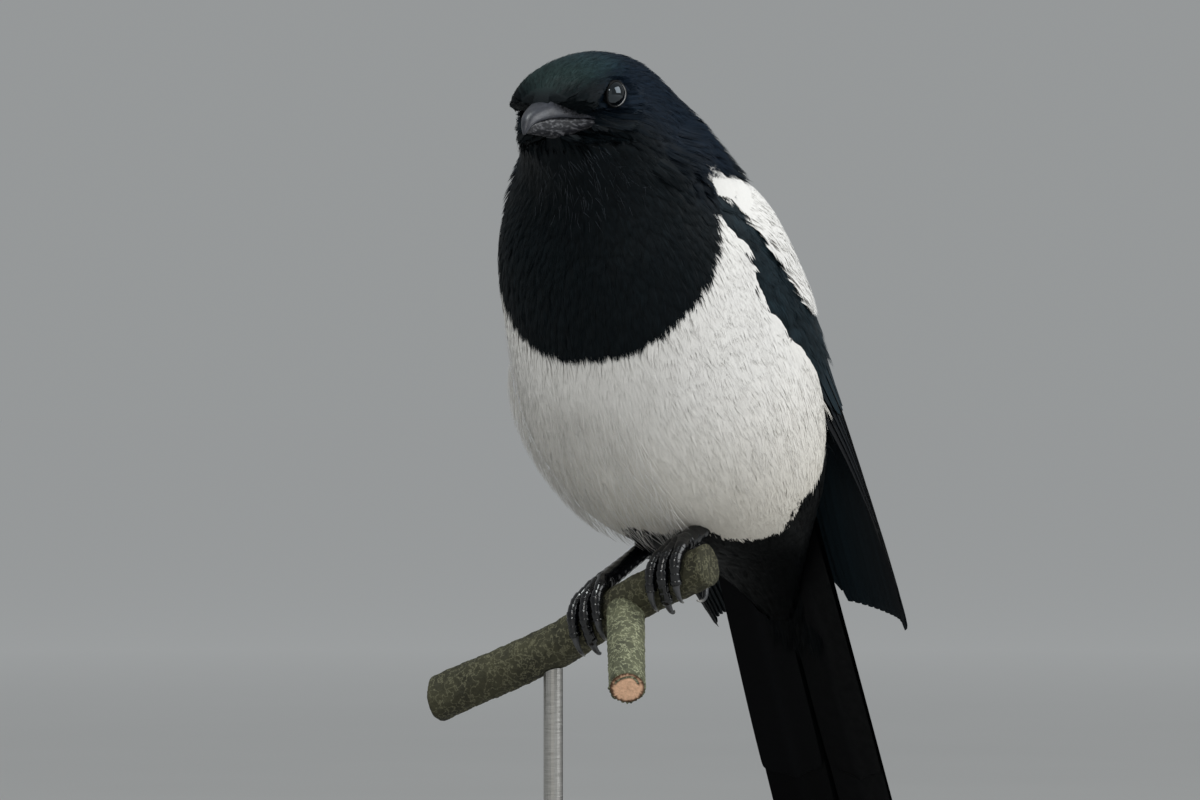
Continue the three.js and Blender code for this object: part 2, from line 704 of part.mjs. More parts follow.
function shank( footX, extra = 0 ) {

	const [ from, to ] = shankLine( footX );
	const path = new THREE.LineCurve3( from.clone().lerp( to, 0.1 + CUT_GAP / SHANK_LENGTH ), to );
	return tube( path, ( t ) => extra + lerp( 3.3, 2.8, Math.sin( t * Math.PI ) ), 8, 5 );

}

function thigh( footX, extra = 0 ) {

	const [ from, to ] = shankLine( footX );
	const start = from.clone().lerp( to, 0.66 ), end = to.clone().add( vec( 0, 12, 10 ) );
	const path = new THREE.QuadraticBezierCurve3( start, from.clone().lerp( to, 0.95 ), end );
	const shape = ( t ) => extra + lerp( 3.6, 9.5, Math.sin( Math.min( t * 1.5, 1 ) * Math.PI / 2 ) );
	return tube( path, shape, 10, 6 );

}

// The stand: a plain base and one short rod up to the branch
function base() {

	const { width, depth, height, corner } = BASE;
	const w = width / 2 - corner, d = depth / 2 - corner;
	const BEVEL = 2.5;
	const outline = new THREE.Shape();
	const r = corner - BEVEL;
	outline.absarc( w, d, r, 0, Math.PI / 2 );
	outline.absarc( - w, d, r, Math.PI / 2, Math.PI );
	outline.absarc( - w, - d, r, Math.PI, 1.5 * Math.PI );
	outline.absarc( w, - d, r, 1.5 * Math.PI, 2 * Math.PI );
	const geometry = new THREE.ExtrudeGeometry( outline, {
		depth: height - 2 * BEVEL, bevelThickness: BEVEL, bevelSize: BEVEL, bevelSegments: 1, curveSegments: 5,
	} );
	return solidOf( geometry.translate( 0, 0, BEVEL ) );

}

const rodCentre = branchAt( ROD.x ).centre.clone().add( BIRD_AT );
function rod() {

	const height = rodCentre.z - BASE.height - CUT_GAP;
	const geometry = new THREE.CylinderGeometry( ROD.radius, ROD.radius, height, 20 );
	geometry.rotateX( Math.PI / 2 ).translate( rodCentre.x, rodCentre.y, BASE.height + CUT_GAP + height / 2 );
	return solidOf( geometry );

}

function footCollar() {

	const bore = ROD.radius + CUT_GAP;
	const profile = [ [ bore, 0 ], [ 11, 0 ], [ 11, 2.2 ], [ 9.8, 3.2 ], [ 6.5, 3.6 ], [ 5.6, 7 ], [ bore, 7.4 ] ];
	const points = [ ...profile, profile[ 0 ] ].map( ( [ x, y ] ) => new THREE.Vector2( x, y ) );
	const geometry = new THREE.LatheGeometry( points, 16 ).rotateX( Math.PI / 2 );
	return solidOf( geometry.translate( rodCentre.x, rodCentre.y, BASE.height + CUT_GAP ) );

}

// The finished scene graph
const COLOURS = {
	black: { color: 0x0b0d10, roughness: 0.6 },
	white: { color: 0xe9e8e4, roughness: 0.85 },
	gloss: { color: 0x0c1a22, roughness: 0.4 },
	horn: { color: 0x24252a, roughness: 0.35 },
	skin: { color: 0x14151a, roughness: 0.5 },
	eye: { color: 0x0a0605, roughness: 0.08 },
	bark: { color: 0x5d6149, roughness: 0.9 },
	wood: { color: 0x2a1c13, roughness: 0.45 },
	metal: { color: 0x8d8f92, roughness: 0.3, metalness: 1 },
};
const model = new THREE.Group();
const bird = new THREE.Group();
bird.position.copy( BIRD_AT );
model.add( bird );

function piece( name, solid, colour, group = bird ) {

	const { vertProperties, numProp, triVerts } = largest( solid ).getMesh();
	const positions = vertProperties.filter( ( _, i ) => i % numProp < 3 );
	const geometry = new THREE.BufferGeometry();
	geometry.setAttribute( 'position', new THREE.BufferAttribute( new Float32Array( positions ), 3 ) );
	geometry.setIndex( new THREE.BufferAttribute( new Uint32Array( triVerts ), 1 ) );
	const mesh = new THREE.Mesh( geometry, new THREE.MeshStandardMaterial( COLOURS[ colour ] ) );
	mesh.name = name;
	group.add( mesh );

}

const cutBy = ( solid, cutters ) => cutters.reduce( ( rest, cutter ) => rest.subtract( cutter ), solid );
const wingCutters = Object.values( sides ).map( wingCutter );
const thighCutters = Object.values( FEET ).map( ( { x } ) => thigh( x, CUT_GAP ) );
const shankCutters = Object.values( FEET ).map( ( { x } ) => shank( x, CUT_GAP ) );

headWhole = headWhole.subtract( billCutter( UPPER_BILL, 1 ) ).subtract( billCutter( LOWER_BILL, - 1 ) );
piece( 'head', headWhole, 'black' );
piece( 'neck', cutBy( neck, wingCutters ), 'black' );
piece( 'bill_upper', billUpper, 'horn' );
piece( 'bill_lower', billLower, 'horn' );
piece( 'torso', cutBy( torso, [ ...wingCutters, ...thighCutters, ...shankCutters, tailCutter() ] ), 'white' );
piece( 'tail', cutBy( tailFeathers(), wingCutters ), 'gloss' );
for ( const [ name, side ] of Object.entries( sides ) ) {

	piece( `eye_${name}`, eyeball( side ), 'eye' );
	piece( `wing_${name}`, wing( side ), 'gloss' );
	piece( `shoulder_${name}`, shoulder( side ), 'white' );

}

for ( const [ name, { x, toes: spread } ] of Object.entries( FEET ) ) {

	piece( `thigh_${name}`, thigh( x ), 'black' );
	piece( `shank_${name}`, cutBy( shank( x ), thighCutters ), 'skin' );
	piece( `foot_${name}`, foot( x, spread ), 'skin' );
	for ( const spec of spread ) piece( `claw_${name}_${spec[ 0 ]}`, claw( x, spec ), 'horn' );

}

piece( 'perch', branch(), 'bark' );
piece( 'stand_base', base(), 'wood', model );
const branchInStand = branch( CUT_GAP ).translate( BIRD_AT.toArray() );
piece( 'stand_rod', rod().subtract( branchInStand ), 'metal', model );
piece( 'stand_collar', footCollar(), 'metal', model );

export default model;
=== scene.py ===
"""A Eurasian magpie on a cut branch, held by a plain display stand.

Lengths in the shape functions are millimetres from the bird's own reference point, where its
midline crosses the branch. mesh_object() sets them down in the frame, in metres."""
import math

import bpy
import numpy as np
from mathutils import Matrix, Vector


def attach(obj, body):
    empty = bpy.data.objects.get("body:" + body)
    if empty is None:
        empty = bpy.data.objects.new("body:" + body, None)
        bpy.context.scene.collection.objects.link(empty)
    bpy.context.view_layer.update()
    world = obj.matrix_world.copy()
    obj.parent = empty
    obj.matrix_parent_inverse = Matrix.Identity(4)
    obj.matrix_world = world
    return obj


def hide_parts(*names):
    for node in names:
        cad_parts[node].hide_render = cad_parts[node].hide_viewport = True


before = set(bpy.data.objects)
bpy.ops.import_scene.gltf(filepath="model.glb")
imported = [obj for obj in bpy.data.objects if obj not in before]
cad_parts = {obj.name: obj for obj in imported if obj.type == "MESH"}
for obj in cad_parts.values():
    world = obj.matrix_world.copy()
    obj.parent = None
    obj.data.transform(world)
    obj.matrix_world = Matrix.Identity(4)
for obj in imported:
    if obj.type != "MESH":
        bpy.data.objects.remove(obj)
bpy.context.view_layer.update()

BIRD_AT = np.array([0.0, -22.0, 205.0])
X_AXIS = np.array([1.0, 0.0, 0.0])
SIDES = {"left": 1, "right": -1}
rng = np.random.default_rng(11)

# Body rings from the face to the tail: dorsal y and z, ventral y and z, half width, level
BODY = np.array([
    [-75, 166.5, -66, 156.5, 6, .5], [-73.5, 169.5, -65, 155, 11, .52],
    [-69.5, 174.5, -64, 152, 15.5, .55], [-61.5, 179.8, -62.5, 148, 18, .56],
    [-50, 183.6, -59, 143, 20, .55], [-36, 185.6, -54.5, 137, 23, .52],
    [-20, 184, -52, 128, 27.5, .5], [-7, 174, -51.5, 117, 35.5, .5],
    [5.5, 161.5, -51.5, 105, 43, .5], [21, 148.5, -48.5, 91, 48.7, .5],
    [37, 133, -43, 74, 51.7, .5], [49, 113, -34.5, 57, 53.5, .5],
    [59, 92, -22, 40, 55.5, .5], [68, 71, -5, 25, 53, .5],
    [76, 51, 15, 13, 46.5, .48], [84, 32, 39, 6, 35, .48],
    [90, 16, 66, 1.5, 23.5, .5], [97, 0, 85, -8, 14, .5], [104, -17, 100, -19, 5, .5]])


def smoothstep(x, low, high):
    f = np.clip((x - low) / (high - low), 0, 1)
    return f * f * (3 - 2 * f)


def between(rows, t):
    """Catmull-Rom through evenly spaced rows, t from 0 to 1."""
    at = np.clip(t, 0, 1) * (len(rows) - 1)
    i = np.minimum(at.astype(int), len(rows) - 2)
    f = (at - i)[..., None]
    a, b, d, e = (rows[np.clip(i + k, 0, len(rows) - 1)] for k in (-1, 0, 1, 2))
    return b + .5 * f * (d - a + f * (2 * a - 5 * b + 4 * d - e + f * (3 * (b - d) + e - a)))


def along(keys, x):
    """Smooth values between stations: keys holds [position, value, ...] rows."""
    keys = np.asarray(keys, float)
    x = np.clip(np.asarray(x, float), keys[0, 0], keys[-1, 0])
    at, rows = keys[:, 0], keys[:, 1:]
    last = len(at) - 1
    i = np.clip(np.searchsorted(at, x, side="right") - 1, 0, last - 1)
    run = at[i + 1] - at[i]
    f = ((x - at[i]) / run)[..., None]
    slopes = np.array([(rows[min(k + 1, last)] - rows[max(k - 1, 0)])
                       / (at[min(k + 1, last)] - at[max(k - 1, 0)]) for k in range(last + 1)])
    a, b = rows[i], rows[i + 1]
    sa, sb = slopes[i] * run[..., None], slopes[i + 1] * run[..., None]
    return a + f * (sa + f * (3 * (b - a) - 2 * sa - sb + f * (sa + sb - 2 * (b - a))))


def unit(v):
    return v / np.maximum(np.linalg.norm(v, axis=-1, keepdims=True), 1e-9)


def value(keys, x):
    """The one value of keys at x."""
    return along(keys, x)[..., 0]


def values(keys, x):
    """The several values of keys at x, each an array of its own."""
    return np.moveaxis(along(keys, x), -1, 0)


def floats(*numbers):
    """Numbers and arrays as arrays of one shape."""
    return np.broadcast_arrays(*(np.asarray(n, float) for n in numbers))


def stacked(*columns):
    """Columns of any shapes that fit together, as the coordinates of places."""
    return np.stack(np.broadcast_arrays(*columns), -1)


def curve(a, b, c, s):
    """A bow from a to c, drawn towards b, at the share s."""
    return a * (1 - s) ** 2 + 2 * b * s * (1 - s) + c * s ** 2


def circle(count):
    """Angles evenly spaced round a circle."""
    return np.arange(count) / count * 2 * np.pi


def round_about(middle, first, second, angle, reach):
    """Places at a reach from the middle, at an angle from the first direction to the second."""
    return middle + first * (np.cos(angle) * reach)[..., None] + second * (np.sin(angle) * reach)[..., None]


# The head's own axes, and hollows in its sides: middle and size across, ahead and up
PITCH = math.radians(15.5)
FORWARD = np.array([0, -math.cos(PITCH), -math.sin(PITCH)])
HEAD_UP = np.array([0, -math.sin(PITCH), math.cos(PITCH)])
HEAD_MIDDLE = np.array([0, -48.0, 170.0])
HOLLOWS = [((21.3, 4.1, .4), (7.4, 7.4, 7.4)), ((21.5, 10, -.4), (8, 8.5, 4.8)),
           ((17.8, 17.5, -7.2), (11.3, 16.5, 6.4))]

# The bill from root to tip: place ahead, half width, height and level of the gape
UPPER_BILL = [[2.5, 10, 4, -9.5], [10, 9.8, 6, -6.8], [18, 8.6, 8, -4.6], [25, 7, 6, -2.8],
              [30, 5.4, 4.9, -2.2], [34.5, 3.7, 3.6, -2.1], [37.5, 2.2, 2.6, -3.2], [39.6, .6, 1.1, -5.4]]
LOWER_BILL = [[2.5, 9.6, 4, -9.5], [10, 9.3, 5, -6.8], [18, 7.8, 7, -4.6], [25, 6, 6.5, -2.8],
              [30, 4.4, 5.4, -2.2], [34.5, 2.8, 4, -2.1], [37, 1.2, 2.2, -3]]
BILL_HALVES = ((UPPER_BILL, 1), (LOWER_BILL, -1))
# Height of the edge of the feathers over the side of the bill
FEATHER_LINE = [[6, -8], [8, -7.3], [10.1, -6.1], [15.5, -4.2], [17.7, -2.5], [20.5, -.6], [22.9, 1.4],
                [23.6, 3.4], [24.2, 20]]
BILL_FLOOR, BILL_ROOT = -11.2, 8.5


def bill_half(ahead, up):
    """Half the bill's width at a place on the side of the head."""
    wide = np.zeros(np.broadcast(ahead, up).shape)
    for rows, sign in BILL_HALVES:
        half, height, level = values(rows, ahead)
        rise = (up - level) * sign / height
        wide = np.where((rise >= 0) & (rise < 1), half * np.sqrt(np.clip(1 - rise ** 2, 0, 1)), wide)
    return wide


def up_over(ahead, up):
    """How far a place is outside the bare side of the bill."""
    return np.maximum(np.maximum(up - value(FEATHER_LINE, ahead), BILL_FLOOR - up), BILL_ROOT - ahead)


def head_point(x, ahead, up):
    x, ahead, up = floats(x, ahead, up)
    p = HEAD_MIDDLE + ahead[..., None] * FORWARD + up[..., None] * HEAD_UP
    p[..., 0] = x
    return p


def head_place(p):
    """Distance ahead of the head's middle and above it."""
    rel = p - HEAD_MIDDLE
    return rel @ FORWARD, rel @ HEAD_UP


def body(t, a, lift=0.0):
    """The body's outer surface: t from the face to the tail, a round it from the back."""
    t, a, lift = floats(t, a, lift)
    dorsal_y, dorsal_z, ventral_y, ventral_z, half, level = np.moveaxis(between(BODY, t), -1, 0)
    ventral = stacked(0, ventral_y, ventral_z)
    up = stacked(0, dorsal_y, dorsal_z) - ventral
    size = np.linalg.norm(up, axis=-1)
    c = np.cos(a)
    reach = np.where(c > 0, (1 - level) * size, level * size) + lift
    p = ventral + up * level[..., None] + up / size[..., None] * (c * reach)[..., None]
    p[..., 0] = (half + lift) * np.sin(a)
    ahead, rise = head_place(p)
    x = np.abs(p[..., 0])
    for (across_at, ahead_at, up_at), (across, long, high) in HOLLOWS:
        q = 1 - ((ahead - ahead_at) / long) ** 2 - ((rise - up_at) / high) ** 2
        wall = across_at - across * np.sqrt(np.clip(q, 0, None)) + .8 * lift
        x = np.where(q > 0, np.minimum(x, wall), x)
    # beside the bill the face narrows to it
    narrow = np.maximum(bill_half(ahead, rise) - .9, 3) + 4.5 * np.maximum(up_over(ahead, rise), 0)
    x = np.where((ahead > 4) & (ahead < 31), np.minimum(x, narrow), x)
    p[..., 0] = np.sign(p[..., 0]) * x
    return p


# The folded wing's envelope: place along it, half width, height, lower and upper edge in degrees
WING_ROOT = np.array([0, -15.5, 134.0])
WING_AXIS = unit(np.array([0, 134.5, -151.0]))
WING_UP = np.array([0, -WING_AXIS[2], WING_AXIS[1]])
WING_LENGTH = 210
WING_SHAPE = [[-.05, 41, 26, 111, 62], [.1, 49, 33.5, 110, 48], [.25, 51, 34.5, 108, 34],
              [.42, 49.8, 29.5, 104, 24], [.6, 48.6, 21, 98, 18], [.8, 46.2, 12, 93, 14],
              [1, 42.2, 7, 90, 14]]


def wing(side):
    """The wing's surface for one side: u along it, v from the lower to the upper edge."""
    def surface(u, v, lift=0.0):
        u, v, lift = floats(u, v, lift)
        wide, high, low, top = values(WING_SHAPE, u)
        a = np.radians(low + (top - low) * v)
        normal = unit((np.sin(a) / wide)[..., None] * X_AXIS + (np.cos(a) / high)[..., None] * WING_UP)
        p = (WING_ROOT + (u * WING_LENGTH)[..., None] * WING_AXIS
             + (high * np.cos(a))[..., None] * WING_UP + normal * lift[..., None])
        p[..., 0] += wide * np.sin(a)
        p[..., 0] *= side
        return p
    return surface


# The tail
TAIL_ROOT = np.array([3.3, 78.0, 33.0])
TAIL_ANGLE = math.radians(28)
TAIL_AXIS = np.array([0, math.sin(TAIL_ANGLE), -math.cos(TAIL_ANGLE)])
TAIL_UP = np.array([0, math.cos(TAIL_ANGLE), math.sin(TAIL_ANGLE)])
TAIL_LENGTH = 235


def tail(along_it, x, lift=0.0):
    """The tail's surface: along it in shares of its length, x across it."""
    d, x, lift = floats(along_it, x, lift)
    p = TAIL_ROOT + (d * TAIL_LENGTH)[..., None] * TAIL_AXIS + (lift - x * x * .006)[..., None] * TAIL_UP
    p[..., 0] += x
    return p


# Meshes
def placed(name, data):
    """A new object in the scene."""
    obj = bpy.data.objects.new(name, data)
    bpy.context.scene.collection.objects.link(obj)
    return obj


def mesh_object(name, points, faces, uv, tint, normals):
    """One object from points in bird millimetres, and arrays of triangles or quads."""
    mesh = bpy.data.meshes.new(name)
    points = np.asarray(points, float).reshape(-1, 3)
    groups = [np.asarray(f, np.int32) for f in (faces if isinstance(faces, list) else [faces])]
    loops = np.concatenate([g.ravel() for g in groups])
    sizes = np.concatenate([np.full(len(g), g.shape[1], np.int32) for g in groups])
    mesh.vertices.add(len(points))
    mesh.vertices.foreach_set("co", ((points + BIRD_AT) / 1000).astype(np.float32).ravel())
    mesh.loops.add(len(loops))
    mesh.loops.foreach_set("vertex_index", loops)
    mesh.polygons.add(len(sizes))
    starts = np.concatenate([[0], np.cumsum(sizes)[:-1]]).astype(np.int32)
    mesh.polygons.foreach_set("loop_start", starts)
    mesh.polygons.foreach_set("use_smooth", np.ones(len(sizes), bool))
    if uv is not None:
        layer = mesh.uv_layers.new(name="OFBake")
        layer.data.foreach_set("uv", np.asarray(uv, np.float32).reshape(-1, 2)[loops].ravel())
    if tint is not None:
        layer = mesh.color_attributes.new("tint", "FLOAT_COLOR", "POINT")
        rgba = np.concatenate([np.asarray(tint, float).reshape(-1, 3), np.ones((len(points), 1))], 1)
        layer.data.foreach_set("color", rgba.astype(np.float32).ravel())
    mesh.update(calc_edges=True)
    mesh.validate()
    if normals is not None:
        mesh.normals_split_custom_set_from_vertices(normals.reshape(-1, 3))
    return placed(name, mesh)


def piece(name, points, faces, uv, tint, material, slot, *nodes, normals=None):
    """A mesh object with its material and body, and the nodes it stands for. slot is not used."""
    obj = mesh_object(name, points, faces, uv, tint, normals)
    obj.data.materials.append(material)
    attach(obj, "root")
    if nodes:
        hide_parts(*nodes)
    return obj


def grid_faces(rows, columns, closed=False):
    """Quads of a grid of points, whose columns may run round and close."""
    i = np.arange(rows - 1)[:, None] * columns
    j = np.arange(columns if closed else columns - 1)[None, :]
    k = (j + 1) % columns
    return np.stack([i + j, i + k, i + columns + k, i + columns + j], -1).reshape(-1, 4)


def copies(faces, count, per):
    """The same faces for each of count equal sets of points."""
    faces = np.asarray(faces)
    return (faces[None] + (np.arange(count) * per)[:, None, None]).reshape(-1, faces.shape[1])


# Markings: edges on the body, as degrees from the back and a share of the rings
BIB_EDGE = [[55, .40], [79, .430], [89, .442], [94, .450], [100, .464], [105, .479], [115, .502],
            [127, .521], [136, .531], [146, .542], [158, .550], [170, .554], [180, .553]]
VENT_EDGE = [[60, .70], [77, .754], [87, .766], [100, .776], [110, .779], [118, .802], [127, .818],
             [137, .811], [150, .797], [160, .765], [172, .768], [180, .775]]
# The flank's upper edge, where the wing begins: a share of the rings and degrees from the back
FLANK_TOP = [[.38, 94], [.434, 94], [.464, 97], [.501, 94], [.526, 96], [.566, 97], [.605, 89.3],
             [.641, 79], [.692, 66], [.72, 62], [.75, 60], [.8, 66]]
BLACK = np.array([.0020, .0046, .0064])
WHITE = np.array([.76, .745, .72])
GREY = np.array([.17, .17, .168])
# the two colours below are painted sheen, green on the crown and blue on the nape, added to the black
CROWN_PAINTED_SHEEN = np.array([.011, .022, .020])
NAPE_PAINTED_SHEEN = np.array([.0012, .0042, .0115])


def degrees_down(a):
    """Degrees round the body from the middle of the back, the same on both sides."""
    return np.degrees(np.abs((a + np.pi) % (2 * np.pi) - np.pi))


def white_share(t, a, ragged=0.0):
    """1 where the body's plumage is white, 0 where it is black."""
    down = degrees_down(a)
    inside = (t + ragged > value(BIB_EDGE, down)) & (t + ragged < value(VENT_EDGE, down))
    return (inside & (down > value(FLANK_TOP, t))).astype(float)


def white_shaded_at(t):
    """The white, warmer and greyer towards the bottom of the belly: painted warm shade."""
    return WHITE * (1 - smoothstep(t, .56, .76)[..., None] * np.array([.06, .09, .15]))


def plumage_colour(t, a, ragged=0.0):
    """The body's colours: blue-black with a painted green sheen on the front of the crown and a painted blue
    sheen on the nape, white with painted warm shade low on the belly, and grey.
    """
    ahead, up = head_place(body(t, a))
    # painted sheen: green over the front of the crown, blue over the nape
    crown = (smoothstep(up, 5, 11) * smoothstep(ahead, -22, 2))[..., None]
    nape = smoothstep(t, .14, .26) * (1 - smoothstep(t, .42, .5)) * smoothstep(np.cos(a), -.35, .2)
    rump = (np.exp(-((t - .80) / .02) ** 2) * smoothstep(np.cos(a), .3, .7))[..., None]
    black = BLACK + crown * CROWN_PAINTED_SHEEN + nape[..., None] * NAPE_PAINTED_SHEEN + rump * GREY
    black = black * (1 - .8 * smoothstep(t, .72, .8)[..., None] * (1 - np.clip(rump, 0, 1)))
    white = white_share(t, a, ragged)[..., None]
    return black * (1 - white) + white_shaded_at(t) * white


# Coat
def plumes(name, surface, root, turn, length, width, lift, colour, count, material, slot,
           steps=3, blade=1.35, uv_scale=(1, 1), ragged=.16, droop=.1, relief=.3,
           strand=.14, uneven=.07, twist=.3, allowed=None, stub=.3):
    """Feathers as fans of thin tapered barbs. root is (N, 2) surface places, turn the angle of
    each from the surface's own lie, lift the heights of the root, the middle and the tip. A barb
    ends where allowed first turns false, and goes if less than the share stub of it is left."""
    n = len(root)
    t, a = root[:, :1], root[:, 1:]
    turn, length, width = (np.broadcast_to(k, n)[:, None] for k in (turn, length, width))
    step = 1e-3
    here = surface(t, a)
    speed_t = np.linalg.norm(surface(t + step, a) - here, axis=-1) / step
    speed_a = np.maximum(np.linalg.norm(surface(t, a + step) - here, axis=-1) / step, 1e-3)
    ahead, aside = length * np.cos(turn) / speed_t, length * np.sin(turn)
    s = np.arange(steps + 1) / steps
    ts, as_ = t + ahead * s, a + aside / speed_a * s * (1 + .25 * s)
    rise = curve(*(k[:, None] for k in lift), s)
    spine = surface(ts, as_, rise)
    run = unit(np.gradient(spine, axis=1))
    e = 2e-3
    du = surface(ts + e, as_, rise) - surface(ts - e, as_, rise)
    dv = surface(ts, as_ + e, rise) - surface(ts, as_ - e, rise)
    normal = unit(np.cross(du, dv))
    out = surface(ts[:, :1], as_[:, :1], rise[:, :1] + 1) - spine[:, :1]
    normal = normal * np.sign((normal * out).sum(-1, keepdims=True))
    across = unit(np.cross(normal, run))
    w = np.linspace(-1, 1, count)
    reach = (1 - .24 * w ** 2) * (1 - ragged * rng.random((n, count)))
    grown = np.ones(n * count, bool)

    def barb_place(share):
        """Where on the surface each barb is at a share of its reach."""
        mid = share * reach
        return t + ahead * mid, a + (aside * mid + .5 * width * w) / speed_a

    if allowed is not None:
        shares = np.linspace(.1, 1, 13)
        inside = np.array([allowed(*barb_place(share)) for share in shares])
        left_again = np.logical_or.accumulate(inside) & ~inside
        inside &= ~np.logical_or.accumulate(left_again)
        last = np.where(inside.any(0), shares[len(shares) - 1 - np.argmax(inside[::-1], 0)], .05)
        reach = reach * last
        grown = (last >= stub).ravel()
    # a barb's knots, slid back along the spine by its own length
    knots = s * reach[:, :, None] * steps
    i = np.clip(knots.astype(int), 0, steps - 1)
    g = (knots - i)[..., None]
    pick = np.arange(n)[:, None, None]
    side, up = across[pick, i], normal[pick, i]
    broad, at = width[..., None], w[:, None]
    at_root, at_tip = .35, .75
    fan = at_root + (1 - at_root) * smoothstep(s, 0, .5) - (1 - at_tip) * smoothstep(s, .5, 1)
    wander = 1 + .25 * (rng.random((n, count, 1)) - .5) * s
    offset, sag = .5 * broad * at * fan * wander, droop * broad * at ** 2 * fan
    place = (spine[pick, i] * (1 - g) + spine[pick, i + 1] * g
             + side * offset[..., None] - up * sag[..., None])
    tilt = rng.uniform(-twist, twist, (n, count, 1, 1))
    cross = side * np.cos(tilt) + up * np.sin(tilt)
    face = unit(up + side * (relief * (at[..., None] + rng.normal(0, .5, (n, count, 1, 1)))))
    edge = cross * (.5 * blade * broad / count * (1 - .55 * s ** 2))[..., None]
    points = np.concatenate([(place - edge)[:, :, :-1], (place + edge)[:, :, :-1], place[:, :, -1:]], 2)
    normals = np.concatenate([face[:, :, :-1], face[:, :, :-1], face[:, :, -1:]], 2)
    per = 2 * steps + 1
    tris = [[steps - 1, 2 * steps, 2 * steps - 1]]
    for j in range(steps - 1, 0, -1):
        tris = [[j - 1, steps + j, steps + j - 1], [j - 1, j, steps + j]] + tris
    shade = colour(*barb_place(.72)) if callable(colour) else colour[:, None, :]
    shade = shade * (1 + rng.normal(0, strand, (n, count, 1)) + rng.normal(0, uneven, (n, 1, 1)))
    tint = np.repeat(shade[:, :, None, :], per, 2)
    patch = .0015
    spot = np.stack([a * uv_scale[1], t * uv_scale[0]], -1)[:, None]
    knot = np.concatenate([s[:-1], s[:-1], s[-1:]])
    uv = np.clip(spot + stacked(at, knot * 2 - 1) * patch, 0, 1)
    points, uv, tint, normals = (k.reshape(n * count, per, -1)[grown]
                                 for k in (points, uv, np.clip(tint, 0, 1), normals))
    return piece(name, points, copies(tris, grown.sum(), per), uv, tint, material, slot, normals=normals)


def scatter(surface, t_span, a_span, spacing):
    """Staggered rows of surface places about as far apart as spacing says."""
    places = []
    t = t_span[0]
    fine = np.linspace(a_span[0], a_span[1], 181)
    while t < t_span[1]:
        ring = surface(np.full_like(fine, t), fine)
        walk = np.concatenate([[0], np.cumsum(np.linalg.norm(np.diff(ring, axis=0), axis=1))])
        gap = spacing(t)
        count = max(int(walk[-1] / gap), 3)
        at = (np.arange(count) + rng.random() + rng.uniform(-.3, .3, count)) / count
        a = np.interp((at % 1) * walk[-1], walk, fine)
        ahead = surface(np.full_like(fine, t + .002), fine)
        speed = np.linalg.norm(ahead - ring, axis=1).mean() / .002
        places.append(np.stack([t + rng.uniform(-.35, .35, count) * gap / speed, a], -1))
        t += gap * .9 / speed
    return np.concatenate(places)


# Materials
class Nodes:
    """A material's nodes. Their inputs are values, or outputs of other nodes."""

    def __init__(self, name, **inputs):
        self.material = bpy.data.materials.new(name)
        self.material.use_nodes = True
        self.tree = self.material.node_tree
        self.shade(**inputs)

    def fill(self, node, inputs):
        for key, value in inputs.items():
            socket = node.inputs[key.replace("_", " ")]
            if isinstance(value, bpy.types.NodeSocket):
                self.tree.links.new(value, socket)
            else:
                socket.default_value = (*value[:3], 1) if socket.type == "RGBA" else value

    def shade(self, **inputs):
        self.fill(self.tree.nodes["Principled BSDF"], inputs)

    def add(self, kind, output, settings=None, **inputs):
        """The output of a new node."""
        node = self.tree.nodes.new(kind)
        for key, value in (settings or {}).items():
            setattr(node, key, value)
        self.fill(node, inputs)
        return node.outputs[output]

    def place(self):
        """The piece's own coordinates, in metres."""
        return self.add("ShaderNodeTexCoord", "Object")

    def noise(self, scale, detail=4, stretch=(1, 1, 1)):
        """Noise, scale in marks a metre."""
        place = self.add("ShaderNodeMapping", "Vector", Vector=self.place(), Scale=stretch)
        return self.add("ShaderNodeTexNoise", "Fac", Vector=place, Scale=scale, Detail=detail, Roughness=.55)

    def ramp(self, source, stops):
        """stops: [position, colour or grey] rows."""
        node = self.tree.nodes.new("ShaderNodeValToRGB")
        elements = node.color_ramp.elements
        while len(elements) < len(stops):
            elements.new(.5)
        for element, (position, colour) in zip(elements, stops):
            element.position = position
            element.color = (*colour, 1) if isinstance(colour, tuple) else (colour, colour, colour, 1)
        self.fill(node, dict(Fac=source))
        return node.outputs["Color"]

    def mottled(self, scale, detail, low, high, ends=(.3, .7)):
        """Noise from one grey to another."""
        return self.ramp(self.noise(scale, detail), [(ends[0], low), (ends[1], high)])

    def mix(self, factor, first, second, blend="MIX"):
        return self.add("ShaderNodeMix", "Result", dict(data_type="RGBA", blend_type=blend),
                        Factor=factor, A=first, B=second)

    def tinted(self, share):
        """The piece's own tint, multiplied by a share."""
        tint = self.add("ShaderNodeAttribute", "Color", dict(attribute_name="tint"))
        self.shade(Base_Color=self.mix(1, tint, share, "MULTIPLY"))

    def bump(self, source, distance, strength=1.0):
        self.shade(Normal=self.add("ShaderNodeBump", "Normal", Height=source, Distance=distance,
                                   Strength=strength))


def finish(name, spots, rough=None, bump=None, **inputs):
    """A finish in the tint's colours. spots darken them and rough sets the roughness, both as
    mottled() takes them; bump is a noise's scale and detail, and its height."""
    m = Nodes(name, **inputs)
    m.tinted(m.mottled(*spots))
    if rough:
        m.shade(Roughness=m.mottled(*rough))
    if bump:
        m.bump(m.noise(*bump[:2]), bump[2])
    return m.material


def plumage(name, variation, low, high, gloss):
    """Feather: its colour a little uneven, and satin to matt."""
    return finish(name + "_finish", (900, 3, 1 - variation, 1, (.25, .75)), (300, 2, low, high),
                  Specular_IOR_Level=gloss)


black_plumage = plumage("black_plumage", .25, .5, .65, .10)
white_plumage = plumage("white_plumage", .05, .75, .9, .12)
tail_black = plumage("tail_black", .2, .5, .65, .06)
wing_gloss = plumage("wing_gloss", .2, .42, .55, .16)


# Skin: inside the coat, over the head, neck, trunk and thighs
def skin_depth(t):
    return .9 + .5 * smoothstep(t, .1, .45)


